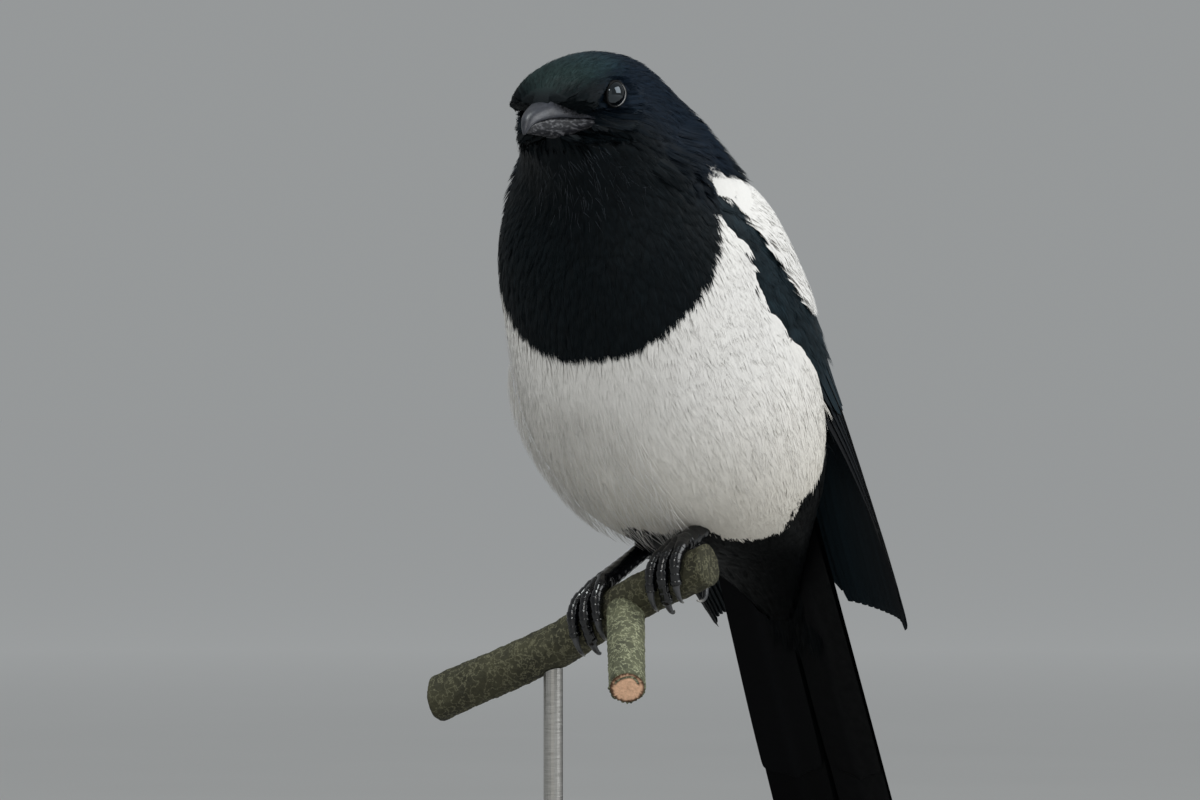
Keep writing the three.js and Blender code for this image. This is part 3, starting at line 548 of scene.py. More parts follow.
def tube_points(path, radius, sides=16):
    """Rings of a tube along a path of points."""
    run = unit(np.gradient(path, axis=0))
    side = np.zeros_like(path)
    start = np.cross(run[0], [0, 0, 1])
    side[0] = unit(start if np.linalg.norm(start) > .2 else np.cross(run[0], X_AXIS))
    for i in range(1, len(path)):
        side[i] = unit(side[i - 1] - run[i] * (side[i - 1] @ run[i]))
    other = np.cross(side, run)
    radius = np.broadcast_to(radius, len(path))[:, None]
    return round_about(path[:, None], side[:, None], other[:, None], circle(sides), radius)


def tube_map(across, down, low, high):
    """The map of a capped tube: its grid, and the middles of its ends."""
    return np.concatenate([np.stack(np.meshgrid(across, down), -1).reshape(-1, 2), [low, high]])


def capped(points):
    """A closed tube: grid points with a middle point at each end, and its faces."""
    rows, sides = points.shape[:2]
    flat = np.concatenate([points.reshape(-1, 3), points[0].mean(0)[None], points[-1].mean(0)[None]])
    j = np.arange(sides)
    k = (j + 1) % sides
    first = np.stack([np.full(sides, rows * sides), k, j], -1)
    base = (rows - 1) * sides
    last = np.stack([np.full(sides, rows * sides + 1), base + j, base + k], -1)
    return flat, [grid_faces(rows, sides, closed=True), first, last]


def joined(parts):
    """Several (points, faces) as one."""
    points, faces, start = [], [], 0
    for p, f in parts:
        points.append(p.reshape(-1, 3))
        faces += [g + start for g in f]
        start += len(points[-1])
    return np.concatenate(points), faces


# Branch, feet and legs: the branch's place across, height and radius, and its side stub
BRANCH = [[-86, -46, 8.3], [-60, -35.5, 8.1], [-35, -25.2, 8], [-20, -17, 7.8], [0, -6.5, 7.8],
          [16, 0, 7.6], [26, 4, 7.4]]
STUB_FROM, STUB_TO, STUB_RADIUS = np.array([-8.0, 0, -11]), np.array([15.0, -39, -38.5]), 6.5
AHEAD = np.array([0, -1.0, 0])


def branch_at(x):
    """Middle, radius and upward direction of the branch at x."""
    x = np.asarray(x, float)
    height, radius = values(BRANCH, x)
    run = unit(stacked(4, 0, value(BRANCH, x + 2) - value(BRANCH, x - 2)))
    return stacked(x, 0, height), radius, stacked(-run[..., 2], 0, run[..., 0])


def over_branch(x, angle, height):
    middle, radius, up = branch_at(x)
    return round_about(middle, up, AHEAD, angle, radius + height)


# Each foot's place on the branch, and its toes: drift across, length and way over the branch
FEET = {"left": (18.5, [("inner", -4.8, 21, 1), ("middle", 0, 27, 1), ("outer", 5, 22, 1),
                        ("hind", 0, 19, -1)]),
        "right": (-13, [("inner", 4.8, 21, 1), ("middle", 0, 27, 1), ("outer", -4.8, 22, 1),
                        ("hind", 0, 19, -1)])}
TOE_RADIUS = 2.1
TOE_RAISE = TOE_RADIUS + .45
TOE_DRIFT = -.3
BALL_RADIUS, BALL_BACK = 3.7, math.radians(14)
CLAW_LENGTH = 9.5
SHANK_RISE, SHANK_LENGTH = math.radians(20), 46


def toe_line(foot_x, offset, way, s, rise):
    """A toe's line over the branch, s along it from the ball of the foot."""
    x = foot_x + offset * smoothstep(s, -4, 10) + TOE_DRIFT * s * (1 if way > 0 else .2)
    radius = branch_at(x)[1]
    return over_branch(x, way * s / (radius + TOE_RAISE) - BALL_BACK, rise)


def shank_line(foot_x):
    start = over_branch(np.array(float(foot_x)), np.array(math.radians(-16)), TOE_RAISE + 2)
    end = start + np.array([math.copysign(1.5, foot_x), math.cos(SHANK_RISE) * SHANK_LENGTH,
                            math.sin(SHANK_RISE) * SHANK_LENGTH])
    return start, end


def build_skin():
    rows, columns = 170, 112
    t = np.linspace(0, 1, rows)[:, None]
    a = circle(columns)[None, :]
    outer = body(t, a)
    u, v = wing_place(outer)
    under = (smoothstep(value(FLANK_TOP, t) - degrees_down(a), 0, 6)
             * smoothstep(u - value(NECK_EDGE, v), -.02, .01) * (1 - smoothstep(v, .97, 1.05)))
    sink = np.clip(2.8 - wing_depth(outer, u, v), 0, 13) * under
    parts = [capped(body(t, a, -np.maximum(skin_depth(t), sink)))]
    tints = [plumage_colour(*np.broadcast_arrays(t, a)).reshape(-1, 3), np.tile(BLACK, (2, 1))]
    uvs = [tube_map(a[0] / (2 * np.pi), t[:, 0] * .9, (.5, 0), (.5, .9))]
    for k, (x, _) in enumerate(FEET.values()):
        # the thighs, from low on the shank into the body
        s = np.linspace(0, 1, 14)
        start, end = shank_line(x)
        low, high = start + (end - start) * .66, start + (end - start) * .95
        path = curve(low, high, end + np.array([0, 12, 10]), s[:, None])
        parts.append(capped(tube_points(path, 2.8 + 5.9 * np.sin(np.minimum(s * 1.5, 1) * np.pi / 2), 16)))
        tints.append(np.tile(BLACK, (14 * 16 + 2, 1)))
        left = .05 + .5 * k
        uvs.append(tube_map(np.arange(16) / 16 * .3 + left, .92 + s * .07,
                            (left + .05, .92), (left + .05, .99)))
    points, faces = joined(parts)
    skin = finish("skin_finish", (700, 4, .9, 1), None, (1500, 3, .0001), Specular_IOR_Level=.2,
                  Roughness=.8)
    piece("skin", points, faces, np.concatenate(uvs), np.concatenate(tints), skin, "black_plumage",
          "head", "neck", "torso", "thigh_left", "thigh_right")


# Where the coat grows; BODY_LENGTH is about the millimetres from face to tail
BODY_LENGTH = 235
EYE_RADIUS = 4.9
EYE_TURN = math.radians(18)


def eye_axis(side):
    return side * math.cos(EYE_TURN) * X_AXIS + math.sin(EYE_TURN) * FORWARD


def eye_point(side):
    return head_point(side * 15, 2.5, .4)


def bare(p):
    """True where the bill or an eye takes the coat's place."""
    ahead, up = head_place(p)
    inside = (ahead < 30) & (up_over(ahead, up) < 0)
    for rows, sign in BILL_HALVES:
        half, height, level = values(rows, ahead)
        rise = (up - level) * sign
        over = (p[..., 0] / half) ** 2 + (np.maximum(rise, 0) / height) ** 2
        inside |= (ahead > 9) & (rise >= -.5) & (over < .9)
    for side in SIDES.values():
        inside |= np.linalg.norm(p - eye_point(side) - eye_axis(side) * .6, axis=-1) < EYE_RADIUS + .3
    return inside


def wing_place(p):
    """Where a point lies on the wing's envelope, as u and v."""
    rel = p - WING_ROOT
    u = rel @ WING_AXIS / WING_LENGTH
    wide, high, low, top = values(WING_SHAPE, u)
    angle = np.degrees(np.arctan2(np.abs(p[..., 0]) / wide, (rel @ WING_UP) / high))
    return u, (angle - low) / (top - low)


# Edges on the folded wing. The flank's and the shoulder's lower edge: place along the wing, share
# across it. The neck's edge and the shoulder's end: share across the wing, place along it.
FLANK_FROM = .41
FLANK_EDGE = [[.412, .154], [.468, .098], [.523, -.019], [.572, -.199], [.65, -.5]]
NECK_EDGE = [[-.1, .02], [.05, .0], [.13, -.031], [.2, -.046], [.28, -.064], [.33, -.062], [.454, -.048],
             [.612, -.027], [.78, .0], [.96, .045], [1.0, .06], [1.2, .12]]
SHOULDER_LOWER = [[-.06, .1], [-.036, .1], [-.006, .28], [.033, .31], [.08, .3], [.19, .3], [.29, .335]]
SHOULDER_END = [[.25, .27], [.335, .29], [.4, .3], [.6, .29], [.8, .25], [.96, .2], [1.1, .12]]


def wing_depth(p, u, v):
    """How far under the wing's outer surface a point of the body lies."""
    wide, high = values(WING_SHAPE, u)[:2]
    rise = (p - WING_ROOT) @ WING_UP
    out = np.hypot(p[..., 0] / wide, rise / high)
    inside = (u > np.where(p[..., 0] > 0, -.1, -.045)) & (u < 1) & (v > -.3) & (v < 1.1)
    return np.where(inside, np.hypot(p[..., 0], rise) * (1 / np.maximum(out, .3) - 1), 0)


def over_wing(sunk, gap=1.4):
    """The lift that brings a feather out over the wing, where the body is sunk under it."""
    return sunk + gap * (sunk > .05)


def sunk_at(t, a):
    """How far the body lies under the wing, as far as a feather can bridge it."""
    p = body(t, a)
    return np.clip(wing_depth(p, *wing_place(p)), 0, 9)


def clear_of_wing(t, a):
    """True where a feather of the body may lie: on the body or over the wing's edges."""
    p = body(t, a, over_wing(sunk_at(t, a)))
    u, v = wing_place(p)
    wobble = rng.normal(0, .006, np.shape(u))
    below = degrees_down(a) > value(FLANK_TOP, t) + 90 * wobble
    flank = np.where(u < FLANK_FROM, below, v < value(FLANK_EDGE, u) + 2.5 * wobble)
    neck = value(NECK_EDGE, v) + wobble + .06 * (p[..., 0] < 0)
    return flank | (u < neck) | (u > .97) | (v > 1.0 + 2.5 * wobble)


def coat_part(name, surface, roots, spec, material, slot, colour, **options):
    """Plumes at these roots: spec gives arrays of length, width, root lift, middle and tip lift."""
    length, width, deep, middle, tip = spec
    n = len(roots)
    jitter = rng.normal(0, 1, (n, 3))
    turn = options.pop("turn", 0) + .11 * jitter[:, 0]
    loose = options.pop("loose", .2)
    lift = (deep * np.ones(n), middle + .7 * loose * jitter[:, 1], tip + loose * np.abs(jitter[:, 2]))
    return plumes(name, surface, roots, turn, length * (1 + .08 * jitter[:, 1]), width, lift, colour,
                  material=material, slot=slot, **options)


def build_coat():
    def gap(t):
        return (1.35 + .5 * smoothstep(t, .1, .2) + .75 * smoothstep(t, .3, .45)
                + .5 * smoothstep(t, .5, .6))

    roots = scatter(body, (.012, .985), (0, 2 * np.pi), gap)
    roots = roots[~bare(body(*roots.T)) & clear_of_wing(*roots.T)]
    t, a = roots.T
    p = body(t, a)
    u, v = wing_place(p)
    down = degrees_down(a)
    size = smoothstep(t, .03, .16)
    grown = smoothstep(t, .3, .5)
    length = 3 + 4 * size + 4 * grown + 2 * smoothstep(t, .5, .6)
    white = white_share(t + .3 * length / BODY_LENGTH, a) > .5
    length = np.where(white, 13 + 8 * smoothstep(t, .55, .68) - 4 * smoothstep(t, .72, .8), length)
    width = 1.5 + 1.1 * size + 2.2 * grown
    deep = -skin_depth(t) - .3
    # tips and middles rise over the wing where the body lies under it
    end = t + length / BODY_LENGTH
    sunk_half = sunk_at(np.minimum((t + end) / 2, .99), a)
    low = smoothstep(t, .44, .5) * smoothstep(62 - down, 0, 12)
    tip = .1 + over_wing(sunk_at(np.minimum(end, .99), a)) * (1 - low)
    middle = np.maximum(.3, over_wing(sunk_half, 1.2) * (1 - low))
    # fuller cheeks and chin, and a fuller edge where the neck meets the wing
    ahead, up = head_place(p)
    cheek = (4.6 * np.exp(-((t - .262) / .05) ** 2 - ((down - 95) / 24) ** 2)
             + 3.4 * np.exp(-((ahead - 15) / 5) ** 2 - ((up + 1.5) / 4.5) ** 2))
    front = smoothstep(u, -.16, -.08) * smoothstep(v, .05, .2) * (1 - smoothstep(u, .0, .04))
    middle = middle + cheek + 1.2 * front
    tip = tip + .8 * cheek + 2.4 * front
    back = down < 78

    def on(white, ragged):
        """The test that keeps barbs on the white, 1, or off it, 0."""
        return lambda t, a: (clear_of_wing(t, a)
                             & (white_share(t, a, rng.normal(0, ragged, t.shape)) == white))

    def dark(t, a):
        """The colours with the white moved off the body."""
        return plumage_colour(t, a, 9)

    parts = [
        ("face_feathers", ~white & (t < .17), 7, dict(steps=2)),
        ("head_feathers", ~white & (t >= .17) & (t < .36), 7, dict(steps=2)),
        ("breast_feathers", ~white & (t >= .36) & (t < .66) & ~back, 11, {}),
        ("back_feathers", ~white & (t >= .36) & (t < .86) & back, 11, {}),
        ("vent_feathers", ~white & (t >= .66) & (~back | (t >= .86)), 11, dict(material=tail_black)),
        ("belly_feathers_left", white & (a < np.pi), 20, {}),
        ("belly_feathers_right", white & (a >= np.pi), 20, {}),
    ]
    for name, mask, count, options in parts:
        if name.startswith("belly"):
            look = dict(material=white_plumage, slot="white_plumage", allowed=on(1, .006), relief=.05,
                        strand=.025, uneven=.01, blade=3.4, ragged=.55, droop=.015, loose=.04, twist=.05)
            # the belly's white carries painted warm shade towards the bottom
            colour, wide = white_shaded_at(t[mask]), 1.5
        else:
            look = dict(material=black_plumage, slot="black_plumage", allowed=on(0, .005), relief=.14)
            look.update(options)
            colour, wide = dark, 0
        flat = .3 * wide * (sunk_half[mask] < .05)
        spec = [length[mask], width[mask] + wide, deep[mask], middle[mask] - .2 * flat, tip[mask] - flat]
        coat_part(name, body, roots[mask], spec, colour=colour, count=count,
                  uv_scale=(.9, 1 / (2 * np.pi)), **look)


def surface_hairs(name, count, t_span, a_span, length, lift, thick, shade, slot="white_plumage"):
    """Fine pale shafts that lie over the coat, along its lie."""
    t = rng.uniform(*t_span, count)[:, None]
    a = np.radians(rng.uniform(*a_span, count))[:, None]
    s = np.linspace(0, 1, 5)[None, :]
    speed = np.linalg.norm((body(t + .001, a) - body(t, a)) / .001, axis=-1)
    long = rng.uniform(*length, (count, 1))
    drift = rng.normal(0, .05, (count, 1)) * s
    path = body(t + long / speed * s, a + drift, lift * (.3 + .7 * s))
    uneven = .6 if slot == "black_plumage" else .1
    hairs(name, path, thick, shade * rng.uniform(1 - uneven, 1 + uneven, (count, 1)), slot)


# Flight feathers: fine vanes, each with its own patch of the piece's map
ATLAS = 9


def vane(surface, number, start, end, half, lift, tilt, shape, colour, rows=26, columns=9,
         shaft=.3, slant=0.0, blunt=0.0):
    """One feather's points, faces, map and tint. start and end are surface places."""
    s = (1 - (1 - np.linspace(0, 1, rows)) ** 1.35)[:, None]
    x = np.linspace(1, -1, columns)[None, :]
    # the very tip rounds off
    share = value(shape, s) * np.sqrt(np.clip(1 - smoothstep(s, .955, 1.0) ** 2 * (.96 - blunt), 0, 1))
    wide = (half[0] + (half[1] - half[0]) * s) * share
    across = start[1] + (end[1] - start[1]) * s - x * wide
    rise = lift + tilt * x * share / 2 + shaft * np.exp(-(x / .13) ** 2) - .15 * x ** 2
    u = start[0] + (end[0] - start[0]) * (s - .012 * (1 - blunt) * x ** 2) - slant * x * wide * s ** 6
    cell = np.array([number % ATLAS, number // ATLAS]) / ATLAS
    uv = cell + stacked((x + 1) / 2 * .9 + .05, s * .9 + .05) / ATLAS
    tint = colour * (1 + .5 * np.exp(-(x / .16) ** 2))[..., None]
    return surface(u, across, rise), grid_faces(rows, columns), uv, tint


def vanes_object(name, parts, material, slot, *nodes):
    points, faces = joined([(p, [f]) for p, f, _, _ in parts])
    uvs = np.concatenate([uv.reshape(-1, 2) for _, _, uv, _ in parts])
    tints = np.concatenate([np.broadcast_to(tint, p.shape).reshape(-1, 3) for p, _, _, tint in parts])
    return piece(name, points, faces, uvs, tints, material, slot, *nodes)


VANE_SHAPE = [[0, 1], [.5, 1], [.94, .95], [1, .85]]
COVERT_SHAPE = [[0, .9], [.5, 1], [.88, .85], [1, .5]]
FLIGHT_OVERLAP, COVERT_OVERLAP = .9, .62
PRIMARY = np.array([.007, .0078, .0095])
GLOSS = np.array([.007, .016, .022])


def wing_rows(side):
    """The folded wing's flight feathers and large coverts."""
    surface = wing(side)
    parts = []

    def row(count, span, ends, lift, overlap, shape, colours, rows=26, blunt=0.0, steep=1.0):
        """Feathers side by side; ends says where they start and end, from the first to the last."""
        spacing = (span[1] - span[0]) / (count - 1)
        for i in range(count):
            root, tip = along(ends, i / (count - 1))
            v = span[0] + i * spacing
            shade = colours[0] + (colours[1] - colours[0]) * i / (count - 1)
            near = along(ends, np.clip((i + np.array([-.5, .5])) / (count - 1), 0, 1))[:, 1]
            parts.append(vane(surface, len(parts), (root, v), (tip, v), (overlap * spacing,) * 2, lift,
                              2 * overlap * .96 * steep, shape, shade * rng.uniform(.85, 1.15), rows,
                              slant=(near[1] - near[0]) / spacing, blunt=blunt))

    row(15, (.035, .84), [[0, .36, .76], [.07, .36, .9], [.14, .36, .965], [.21, .36, 1], [.34, .36, .985],
                          [.6, .36, .975], [1, .36, .96]], -.8, FLIGHT_OVERLAP, VANE_SHAPE,
        (PRIMARY, GLOSS), 34, .6)
    row(3, (.86, .99), [[0, .34, .955], [1, .34, .93]], .3, FLIGHT_OVERLAP, VANE_SHAPE, (GLOSS, GLOSS))
    row(3, (.05, .16), [[0, .22, .45], [1, .24, .49]], .4, COVERT_OVERLAP, COVERT_SHAPE,
        (PRIMARY, GLOSS), steep=.5)
    row(9, (.2, .86), [[0, .3, .5], [1, .3, .52]], .3, COVERT_OVERLAP, COVERT_SHAPE, (GLOSS, GLOSS), steep=.5)
    return parts


def build_wing(name, side):
    vanes_object(f"wing_feathers_{name}", wing_rows(side), wing_gloss, "wing_feathers", f"wing_{name}")
    surface = wing(side)
    # the arm under the coverts
    u, v = np.meshgrid(np.linspace(0, .42, 24), np.linspace(.01, .97, 30), indexing="ij")
    edge = np.minimum(smoothstep(v, 0, .1), 1 - smoothstep(v, .9, .99)) * smoothstep(u, 0, .05)
    arm = surface(u, v, -3 + 3 * edge)
    piece(f"wing_arm_{name}", arm, grid_faces(*u.shape), stacked(v, (u + .05) * 1.8),
          np.broadcast_to(GLOSS, arm.shape), wing_gloss, "wing_feathers")
    # small coverts
    roots = scatter(surface, (-.03, .33), (.02, .6), lambda t: 3.4)
    size = smoothstep(roots[:, 0], -.02, .3)
    spec = (8 + 10 * size, 5 + 4 * size, -.8, .9 + .5 * size, 1.5 + .6 * size)
    coat_part(f"wing_coverts_{name}", surface, roots, spec, wing_gloss, "wing_feathers",
              GLOSS * rng.uniform(.8, 1.2, (len(roots), 1)), count=15, uv_scale=(1.8, 1),
              turn=-.06, relief=.12)
    # white shoulder feathers, and the down beneath them
    roots = scatter(surface, (-.07, .27), (.2, 1.08), lambda t: 3.2)

    def on_shoulder(u, v, spread=.004, inset=0.0):
        wobble = rng.normal(0, spread, np.shape(u)) + inset
        return ((v > value(SHOULDER_LOWER, u) + 2 * wobble)
                & (u > value(NECK_EDGE, v) + wobble + .06 * (side < 0))
                & (u < value(SHOULDER_END, v) + wobble - 3 * inset))

    u, v = roots.T
    length = 15 + 8 * smoothstep(u, -.05, .15)
    kept = on_shoulder(u + .5 * length / WING_LENGTH, v) & on_shoulder(u + .015, v)
    roots, length = roots[kept], length[kept]
    u, v = np.meshgrid(np.linspace(-.08, .3, 76), np.linspace(.08, 1.1, 60), indexing="ij")
    inner = on_shoulder(u, v, 0, .006).ravel()
    quads = grid_faces(*u.shape)
    used, quads = np.unique(quads[inner[quads].all(-1)], return_inverse=True)
    down = surface(u, v, 1.2 + .4 * smoothstep(u, -.05, .05)).reshape(-1, 3)[used]
    uv = np.stack([v, (u + .1) * 2.2], -1).reshape(-1, 2)[used] / 1.15
    piece(f"shoulder_down_{name}", down, quads.reshape(-1, 4), uv, np.broadcast_to(WHITE, down.shape),
          white_plumage, "white_plumage")
    high = smoothstep(roots[:, 0], -.05, .05)
    feathers = coat_part(f"shoulder_feathers_{name}", surface, roots,
                         (length, 7.5, -2, 1 + 2.9 * high, 1.6 + 1.5 * high), white_plumage,
                         "white_plumage", np.tile(WHITE * 1.04, (len(roots), 1)), count=17, steps=4,
                         uv_scale=(1.8, 1), relief=.05, strand=.02, uneven=.012, ragged=.4, blade=2.4,
                         droop=.01, loose=.04, twist=.05, allowed=on_shoulder, stub=.4)
    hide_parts(f"shoulder_{name}")


TAIL_PAIRS = [1, .945, .85, .75, .645, .53]


def build_tail():
    parts = []
    for k, length in enumerate(TAIL_PAIRS):
        for side in (1, -1):
            level = k + 1 if k else (1 - side) / 2
            across = 12.8 + .1 * k if k else 4.5
            parts.append(vane(tail, len(parts), (.01, side * min(across, 11.5)), (length, side * across),
                              (10.4, 12.6), 2.6 - .96 * level, 0, VANE_SHAPE,
                              PRIMARY * rng.uniform(.3, .45), 44, 11, .35))
    vanes_object("tail_feathers", parts, tail_black, "tail_feathers", "tail")

    def underside(d, x, lift=0.0):
        return tail(d, x, -np.asarray(lift, float))

    for name, surface, lift, reach, spread in (("tail_coverts_upper", tail, 3.1, .2, 14),
                                               ("tail_coverts_under", underside, 3.9, .22, 8)):
        roots = scatter(tail, (-.02, reach), (-spread, spread), lambda t: 4)
        coat_part(name, surface, roots, (26, 8, lift - 1.6, lift, lift + .4), tail_black, "black_plumage",
                  BLACK * rng.uniform(.3, .5, (len(roots), 1)), count=13, steps=4, uv_scale=(.8, .02),
                  turn=-.02 * roots[:, 1])


# Bill and eyes
def build_bill():
    for half_name, (rows, sign) in zip(("bill_upper", "bill_lower"), BILL_HALVES):
        ahead = np.linspace(rows[0][0], rows[-1][0], 60)
        half, height, level = values(rows, ahead)[..., None]
        half = half * (1 - .12 * smoothstep(ahead, 16, 27))[:, None]
        a = np.linspace(-.5, .5, 25) * np.pi
        seam = level + .16 * sign
        top = head_point(np.sin(a) * half, ahead[:, None], seam + np.cos(a) ** .8 * height * sign)
        flat = head_point(np.sin(a[1:-1][::-1]) * half, ahead[:, None], seam)
        ring = np.concatenate([top, flat], 1)
        points, faces = capped(ring if sign > 0 else ring[:, ::-1])
        uv = tube_map(np.linspace(0, 1, ring.shape[1]), np.linspace(0, .95, 60), (.5, 0), (.5, 1))
        m = Nodes(half_name + "_horn_finish", Specular_IOR_Level=.5)
        grain = m.noise(500, 5, (1, .25, .6))
        horn = m.ramp(grain, [(.35, (.020, .0215, .028)), (.75, (.045, .048, .060))])
        if sign < 0:
            # the lower half gets pale streaks over its dark horn
            pale_streaks = m.ramp(m.noise(1500, 5, (1, .22, .8)), [(.50, 0.0), (.64, 1.0)])
            horn = m.mix(pale_streaks, (.015, .0155, .019), (.12, .12, .13))
        m.shade(Base_Color=horn, Roughness=m.mottled(900, 3, .3, .5))
        m.bump(grain, .00012 if sign > 0 else .00035)
        piece(half_name + "_horn", points, faces, uv, None, m.material, "bill", half_name)


# The bristles' roots from the top of the bill to its corner: place ahead and height
BRISTLE_GREY = np.array([.045, .047, .054])
BRISTLE_EDGE = [[0, 22, 4.4], [.25, 23.4, 2.9], [.5, 22, .6], [.75, 18, -2.4], [1, 12, -5.2]]


def hair_path(start, over, end):
    return curve(start[:, None], over[:, None], end[:, None], np.linspace(0, 1, 6)[None, :, None])


def build_bristles():
    """Fine forward hairs over the root of the bill."""
    count = 520
    k = rng.random(count) ** .8
    side = np.where(rng.random(count) < .5, 1, -1)
    ahead, up = values(BRISTLE_EDGE, k)
    up = up + rng.normal(0, .3, count)
    reach = rng.uniform(-1.5, 1.6, count)

    def over_bill(forward, rise, off):
        half = np.maximum(bill_half(ahead + forward, up + rise), 1.0)
        return head_point(side * np.minimum(half + off, 12 * k + 1.5), ahead + forward, up + rise)

    path = hair_path(over_bill(-6, .4, -.5), over_bill(-1.5, .9, 1.2),
                     over_bill(1.4 + reach, -.5 * k - .3, .3))
    hairs("bill_bristles", path, .12, BRISTLE_GREY * rng.uniform(.2, 2.4, (count, 1)))


def build_face_margin():
    """Short feathers beside the far side of the bill, which carry the face's outline down."""
    count = 260
    up = rng.uniform(-7, 2, count)
    off = rng.normal(0, .4, (3, count))
    path = hair_path(head_point(-9 + off[0], 5 + off[1], up),
                     head_point(-15.5 + off[2], 12 + off[0], up),
                     head_point(-15.2 - .12 * up + off[1], 17.2 + .35 * up + off[2], up - .6))
    hairs("face_margin", path, .34, BLACK * rng.uniform(.6, 1.4, (count, 1)))


def hairs(name, path, thick, colour, slot="black_plumage"):
    """Three-sided tapered hairs along paths of points."""
    n, steps = path.shape[:2]
    run = unit(np.gradient(path, axis=1))
    side = unit(np.cross(run, rng.normal(0, 1, (n, 1, 3))))
    other = np.cross(run, side)
    taper = thick * (1 - .85 * np.linspace(0, 1, steps) ** 1.5)[:, None]
    points = round_about(path[:, :, None], side[:, :, None], other[:, :, None], circle(3), taper)
    cell = 32
    spot = stacked(np.arange(n) % cell, np.arange(n) // cell) / cell * .9 + .05
    uv = np.clip(np.repeat(spot, steps * 3, 0), 0, 1)
    tint = np.clip(np.broadcast_to(colour[:, None, None, :], points.shape), 0, 1)
    material = black_plumage if slot == "black_plumage" else white_plumage
    piece(name, points, copies(grid_faces(steps, 3, closed=True), n, steps * 3), uv, tint, material, slot)


def ball(middle, radius, polar, turn, axes):
    """Rings of a ball, their polar angles from the first of its axes."""
    flat = np.sin(polar) * radius
    return (middle + axes[0] * (np.cos(polar) * radius)[..., None]
            + axes[1] * (flat * np.cos(turn))[..., None] + axes[2] * (flat * np.sin(turn))[..., None])


# the eye's black is tinted blue as a painted reflection
EYE_BLACK, EYE_RIM = np.array([.0015, .0022, .003]), np.array([.01, .01, .011])
# the lid's black, and the pale of a painted reflection on its inner edge
LID_BLACK, LID_PAINTED_REFLECTION = np.array([.004, .0045, .005]), np.array([.9, .9, .9])
LID_AHEAD, LID_RING, LID_THICK = 2.35, 4.45, .42


def build_eyes():
    for name, side in SIDES.items():
        axis = eye_axis(side)
        across = unit(np.cross(axis, HEAD_UP))
        up = np.cross(across, axis)
        middle = eye_point(side) + axis * .2
        polar = np.linspace(0, np.pi, 40)[:, None]
        turn = circle(56)[None, :]
        globe = ball(middle, EYE_RADIUS, polar, turn, (axis, across, up))
        pupil = 1 - smoothstep(np.degrees(polar), 29, 33)[..., None]
        rim = smoothstep(np.degrees(polar), 50, 60)[..., None]
        tint = (EYE_BLACK * (1 - pupil) + .0015 * pupil) * (1 - rim) + EYE_RIM * rim
        uv = stacked(turn / (2 * np.pi), polar / np.pi)
        wet = finish(f"eyeball_{name}_finish", (2500, 3, .7, 1), Roughness=.03, Specular_IOR_Level=.72,
                     Specular_Tint=(.78, .9, 1))
        piece(f"eyeball_{name}", globe, grid_faces(40, 56, closed=True), uv,
              np.broadcast_to(tint, globe.shape), wet, "eye", f"eye_{name}")
        # the lid, with a painted reflection as a pale inner edge on its front half
        ring = circle(72)
        fold = .25 * np.sin(ring * 2 + .6)
        path = round_about(middle + axis * (LID_AHEAD + fold)[:, None], across, up, ring, LID_RING)
        outward = unit(path - middle - axis * LID_AHEAD)
        a = circle(12)
        lid = round_about(path[:, None], outward[:, None], axis, a, LID_THICK)
        # a pale crescent on the front of the lid's inner edge: painted reflection
        front = smoothstep(-side * .9 * np.cos(ring) - .5 * np.sin(ring), .0, .6)[:, None]
        edge = np.exp(-((np.degrees(a) - 150) / 26) ** 2) * front
        matt = finish(f"eyelid_{name}_finish", (1800, 3, .6, 1), (900, 2, .5, .65), (2500, 2, .0001),
                      Specular_IOR_Level=.12)
        piece(f"eyelid_{name}", lid, grid_faces(73, 12, closed=True) % (72 * 12), None,
              LID_BLACK + edge[..., None] * LID_PAINTED_REFLECTION, matt, "leg_skin")


# Legs and feet
LEG_BLACK = np.array([.0022, .0027, .0040])
CLAW_GREY, CLAW_PALER = np.array([.05, .051, .055]), np.array([.30, .29, .27])


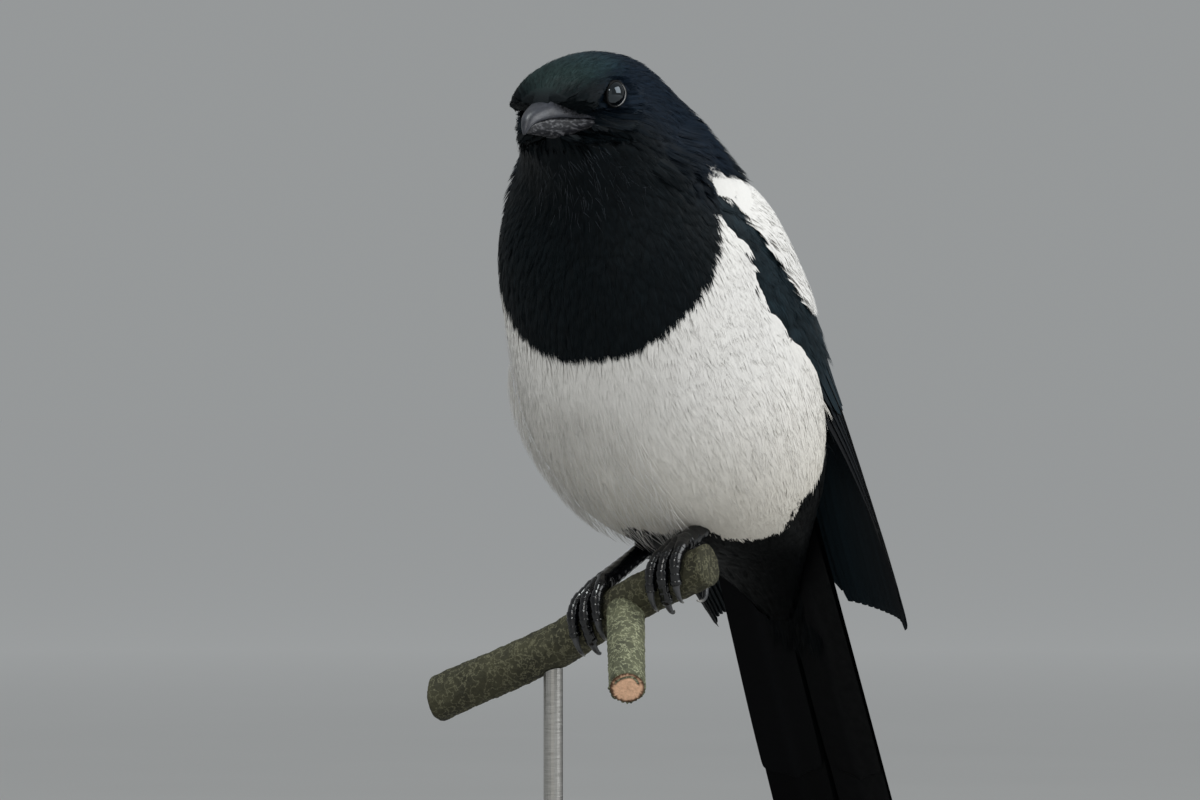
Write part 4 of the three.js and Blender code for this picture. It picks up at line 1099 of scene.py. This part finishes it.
def build_feet():
    skin = Nodes("leg_skin_finish", Specular_IOR_Level=.5)
    skin.tinted(skin.mottled(600, 4, .6, 1, (.3, .75)))
    skin.shade(Roughness=skin.mottled(700, 3, .14, .24))
    skin.bump(skin.add("ShaderNodeTexVoronoi", "Distance", dict(feature="DISTANCE_TO_EDGE"),
                       Vector=skin.place(), Scale=900), .0001, .25)
    horn = finish("claw_finish", (500, 4, .6, 1, (.3, .75)), (700, 3, .28, .42), (1200, 2, .0001),
                  Specular_IOR_Level=.5)
    for name, (foot_x, toes) in FEET.items():
        parts = []
        start, end = shank_line(foot_x)
        for toe_name, offset, length, way in toes:
            s = np.linspace(0, length, 110)
            path = toe_line(foot_x, offset, way, s, TOE_RAISE + 2.4 * (1 - smoothstep(s, 0, 7)))
            share = s / length
            swell = 1.08 * TOE_RADIUS * (1.05 - .22 * share + .07 * np.cos(share * 6 * np.pi))
            scutes = .38 * (1 - (share * length / 2.3) % 1) ** .7
            parts.append(capped(tube_points(path, swell - .1 + scutes, 16)))
            s = np.linspace(0, 1, 26)
            rise = TOE_RAISE + .3 + 1.2 * np.sin(s * np.pi * .9) - .8 * s ** 2
            path = toe_line(foot_x, offset, way, length - .6 + s * CLAW_LENGTH, rise)
            points, faces = capped(tube_points(path, 1.6 - 1.3 * s ** .8, 12))
            along_claw = np.concatenate([np.repeat(s, 12), [0, 1]])[:, None]
            tint = CLAW_GREY + CLAW_PALER * smoothstep(along_claw, .55, 1)
            uv = tube_map(np.arange(12) / 12 * .95, s * .9, (.5, 0), (.5, .95))
            piece(f"claw_horn_{name}_{toe_name}", points, faces, uv, tint, horn, "claw",
                  f"claw_{name}_{toe_name}")
        polar = np.linspace(.05, np.pi - .05, 16)[:, None]
        parts.append(capped(ball(start, BALL_RADIUS, polar, circle(20)[None, :], np.eye(3)[[2, 0, 1]])))
        s = np.linspace(0, 1, 60)
        radius = BALL_RADIUS - .5 * np.sin(s * np.pi) + .22 * (1 - (s * 9) % 1)
        parts.append(capped(tube_points(start + (end - start) * s[:, None], radius, 18)))
        points, faces = joined(parts)
        piece(f"leg_and_toes_{name}", points, faces, None, np.tile(LEG_BLACK, (len(points), 1)),
              skin.material, "leg_skin", f"foot_{name}", f"shank_{name}")


# Branch
BARK, STUB_BARK = (.60, .58, .52), (1.35, 1.4, 1.28)
CUT_WOOD, CUT_RIM_AND_CRACK_SHADE = np.array([.88, .54, .35]), np.array([.09, .045, .022])


def build_perch():
    x = np.linspace(-86, 26, 150)[:, None]
    a = circle(72)
    middle, radius, up = branch_at(x)
    bumps = (.16 * np.sin(3 * a + .11 * x) + .12 * np.sin(7 * a - .23 * x)
             + .10 * np.sin(.9 * x + 2 * a) + .08 * rng.normal(0, 1, (150, 72)))
    parts = [capped(round_about(middle, AHEAD, up, a, radius - .05 + bumps))]
    count = 60
    s = np.linspace(0, 1, count)[:, None]
    path = STUB_FROM + (STUB_TO - STUB_FROM) * s
    rings = tube_points(path, (STUB_RADIUS - .12 + .5 * (1 - s))[:, 0], count)
    turn = np.linspace(0, 2 * np.pi, count)
    wobble = .02 * np.sin(5 * turn + 3 * s) + .014 * rng.normal(0, 1, (count, count))
    wobble = wobble + smoothstep(s, .93, 1) * .04 * rng.normal(.5, 1, (1, count))
    parts.append(capped(path[:, None] + (rings - path[:, None]) * (1 + wobble)[..., None]))
    points, faces = joined(parts)
    tint = np.where(np.arange(len(points))[:, None] < len(parts[0][0]), BARK, STUB_BARK)
    m = Nodes("bark_finish", Specular_IOR_Level=.25)
    coarse = m.noise(110, 6)
    veins = m.ramp(m.noise(330, 4), [(.465, 0.0), (.495, .75), (.505, .75), (.535, 0.0)])
    base = m.ramp(coarse, [(.3, (.040, .040, .029)), (.7, (.105, .105, .070))])
    m.tinted(m.mix(veins, base, (.27, .27, .19)))
    m.shade(Roughness=m.ramp(coarse, [(.3, .75), (.7, .95)]))
    m.bump(m.noise(600, 6), .0008)
    piece("branch_bark", points, faces, None, tint, m.material, "bark", "perch")
    # the cut face of the stub, with a crack across its upper half and a dark rim; the crack is darkened like
    # the rim as painted shade
    run = unit(STUB_TO - STUB_FROM)
    side = unit(np.cross(run, [0, 0, 1]))
    r = np.linspace(0, 1, 16)[:, None]
    turn = circle(count)[None, :]
    crack = .5 * np.exp(-((r - .72 - .03 * np.sin(4 * turn)) / .075) ** 2) * smoothstep(np.sin(turn), .1, .5)
    dome = .35 - .25 * r ** 4 - crack + .02 * rng.normal(0, 1, (16, count))
    face = round_about(STUB_TO + run * dome[..., None], side, np.cross(side, run), turn,
                       STUB_RADIUS * (r * .93))
    # the crack takes the rim's dark colour as painted shade; the rim's dark is the bark's own
    rim = smoothstep(r + .04 * rng.normal(0, 1, (1, count)), .80, .95) + crack * 3.2
    rim = np.clip(rim, 0, 1)[..., None]
    uv = stacked(.5 + .48 * r * np.cos(turn), .5 + .48 * r * np.sin(turn))
    wood = finish("cut_wood_finish", (900, 4, .72, 1), (500, 3, .6, .85), (1500, 3, .0002),
                  Specular_IOR_Level=.3)
    piece("branch_cut_face", face, grid_faces(16, count, closed=True), uv,
          CUT_WOOD * (1 - rim) + CUT_RIM_AND_CRACK_SHADE * rim, wood, "bark")


def build_stand():
    wood = Nodes("stand_wood_finish", Specular_IOR_Level=.5)
    grain = wood.noise(60, 6, (.25, 3, 3))
    wood.shade(Base_Color=wood.ramp(grain, [(.3, (.030, .018, .011)), (.7, (.085, .05, .03))]),
               Roughness=wood.ramp(grain, [(.3, .3), (.7, .48)]))
    wood.bump(grain, .0002)
    metal = Nodes("stand_metal_finish", Metallic=1.0)
    brushed = metal.noise(200, 4, (1, 1, 12))
    metal.shade(Base_Color=metal.ramp(brushed, [(.3, (.36, .35, .33)), (.7, (.52, .51, .49))]),
                Roughness=metal.ramp(brushed, [(.3, .26), (.7, .4)]))
    for node, m in (("stand_base", wood), ("stand_rod", metal), ("stand_collar", metal)):
        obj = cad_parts[node]
        obj.data.materials.clear()
        obj.data.materials.append(m.material)


STUDIO = (.80, .83, .84)


def build_stage():
    """A plain pale floor, which whitens outward until it meets the studio's own tone."""
    rings = np.array([0, .3, .6, 1, 1.6, 2.5, 4, 8, 20, 90])[:, None]
    turn = circle(64)
    points = stacked(rings * np.cos(turn), rings * np.sin(turn), 0)
    mesh = bpy.data.meshes.new("floor")
    mesh.from_pydata(points.reshape(-1, 3).tolist(), [], grid_faces(10, 64, closed=True).tolist())
    floor = placed("floor", mesh)
    m = Nodes("floor_finish", Specular_IOR_Level=0.0, Roughness=1.0)
    far = m.add("ShaderNodeVectorMath", "Value", dict(operation="LENGTH"), Vector=m.place())
    spread = m.add("ShaderNodeMapRange", "Result", Value=far, From_Min=.6, From_Max=5)
    near = m.ramp(m.noise(3, 3), [(.3, (.45, .45, .445)), (.7, (.48, .48, .475))])
    m.shade(Base_Color=m.mix(spread, near, (1, 1, 1)))
    floor.data.materials.append(m.material)
    scene = bpy.context.scene
    scene.world = bpy.data.worlds.new("studio")
    scene.world.use_nodes = True
    background = scene.world.node_tree.nodes["Background"]
    background.inputs["Color"].default_value = (*STUDIO, 1)
    background.inputs["Strength"].default_value = .38
    scene.view_settings.view_transform = "Standard"


# Camera and lights
VIEW = math.radians(30)
RIGHT = Vector((math.cos(VIEW), math.sin(VIEW), 0))
BACKWARD = Vector((math.sin(VIEW), -math.cos(VIEW), 0))
TARGET = Vector((-.01392, -.03004, .2675))


def aimed(name, data, place):
    """An object at this place that looks at the bird."""
    obj = placed(name, data)
    obj.location = place
    obj.rotation_euler = (obj.location - TARGET).to_track_quat("Z", "Y").to_euler()
    return obj


def build_camera():
    data = bpy.data.cameras.new("camera")
    data.lens = 210
    data.sensor_width = 36
    bpy.context.scene.camera = aimed("camera", data, TARGET + BACKWARD * 2.5)


def area_light(name, right, up, back, size, power, colour):
    """A soft light, placed from the camera's view: metres right, up and back from the bird."""
    data = bpy.data.lights.new(name, "AREA")
    data.size = size
    data.energy = power
    data.color = colour
    aimed(name, data, TARGET + RIGHT * right + BACKWARD * back + Vector((0, 0, up)))


build_camera()
area_light("key", 1.5, .9, .8, 1.5, 30, (.97, .99, 1))
area_light("fill", -.5, .4, 1.9, 1.4, 1.8, (1, .95, .86))
area_light("catch", -.6, 1.04, 1.6, .35, 5.5, (1, .98, .95))
area_light("top", -.5, 1.7, .5, .5, 18, (.95, 1, .99))
build_stage()
build_skin()
build_coat()
for wing_name, wing_side in SIDES.items():
    build_wing(wing_name, wing_side)
build_tail()
build_bill()
build_bristles()
build_face_margin()
surface_hairs("throat_shafts", 220, (.19, .36), (100, 215), (2, 5), .6, .035, np.array([.07, .08, .095]),
              "black_plumage")
surface_hairs("belly_wisps", 240, (.55, .74), (102, 250), (9, 20), .7, .05, WHITE * .9)
surface_hairs("belly_fluff", 1000, (.60, .765), (165, 250), (9, 18), 4, .09, WHITE * .93)
build_eyes()
build_feet()
build_perch()
build_stand()
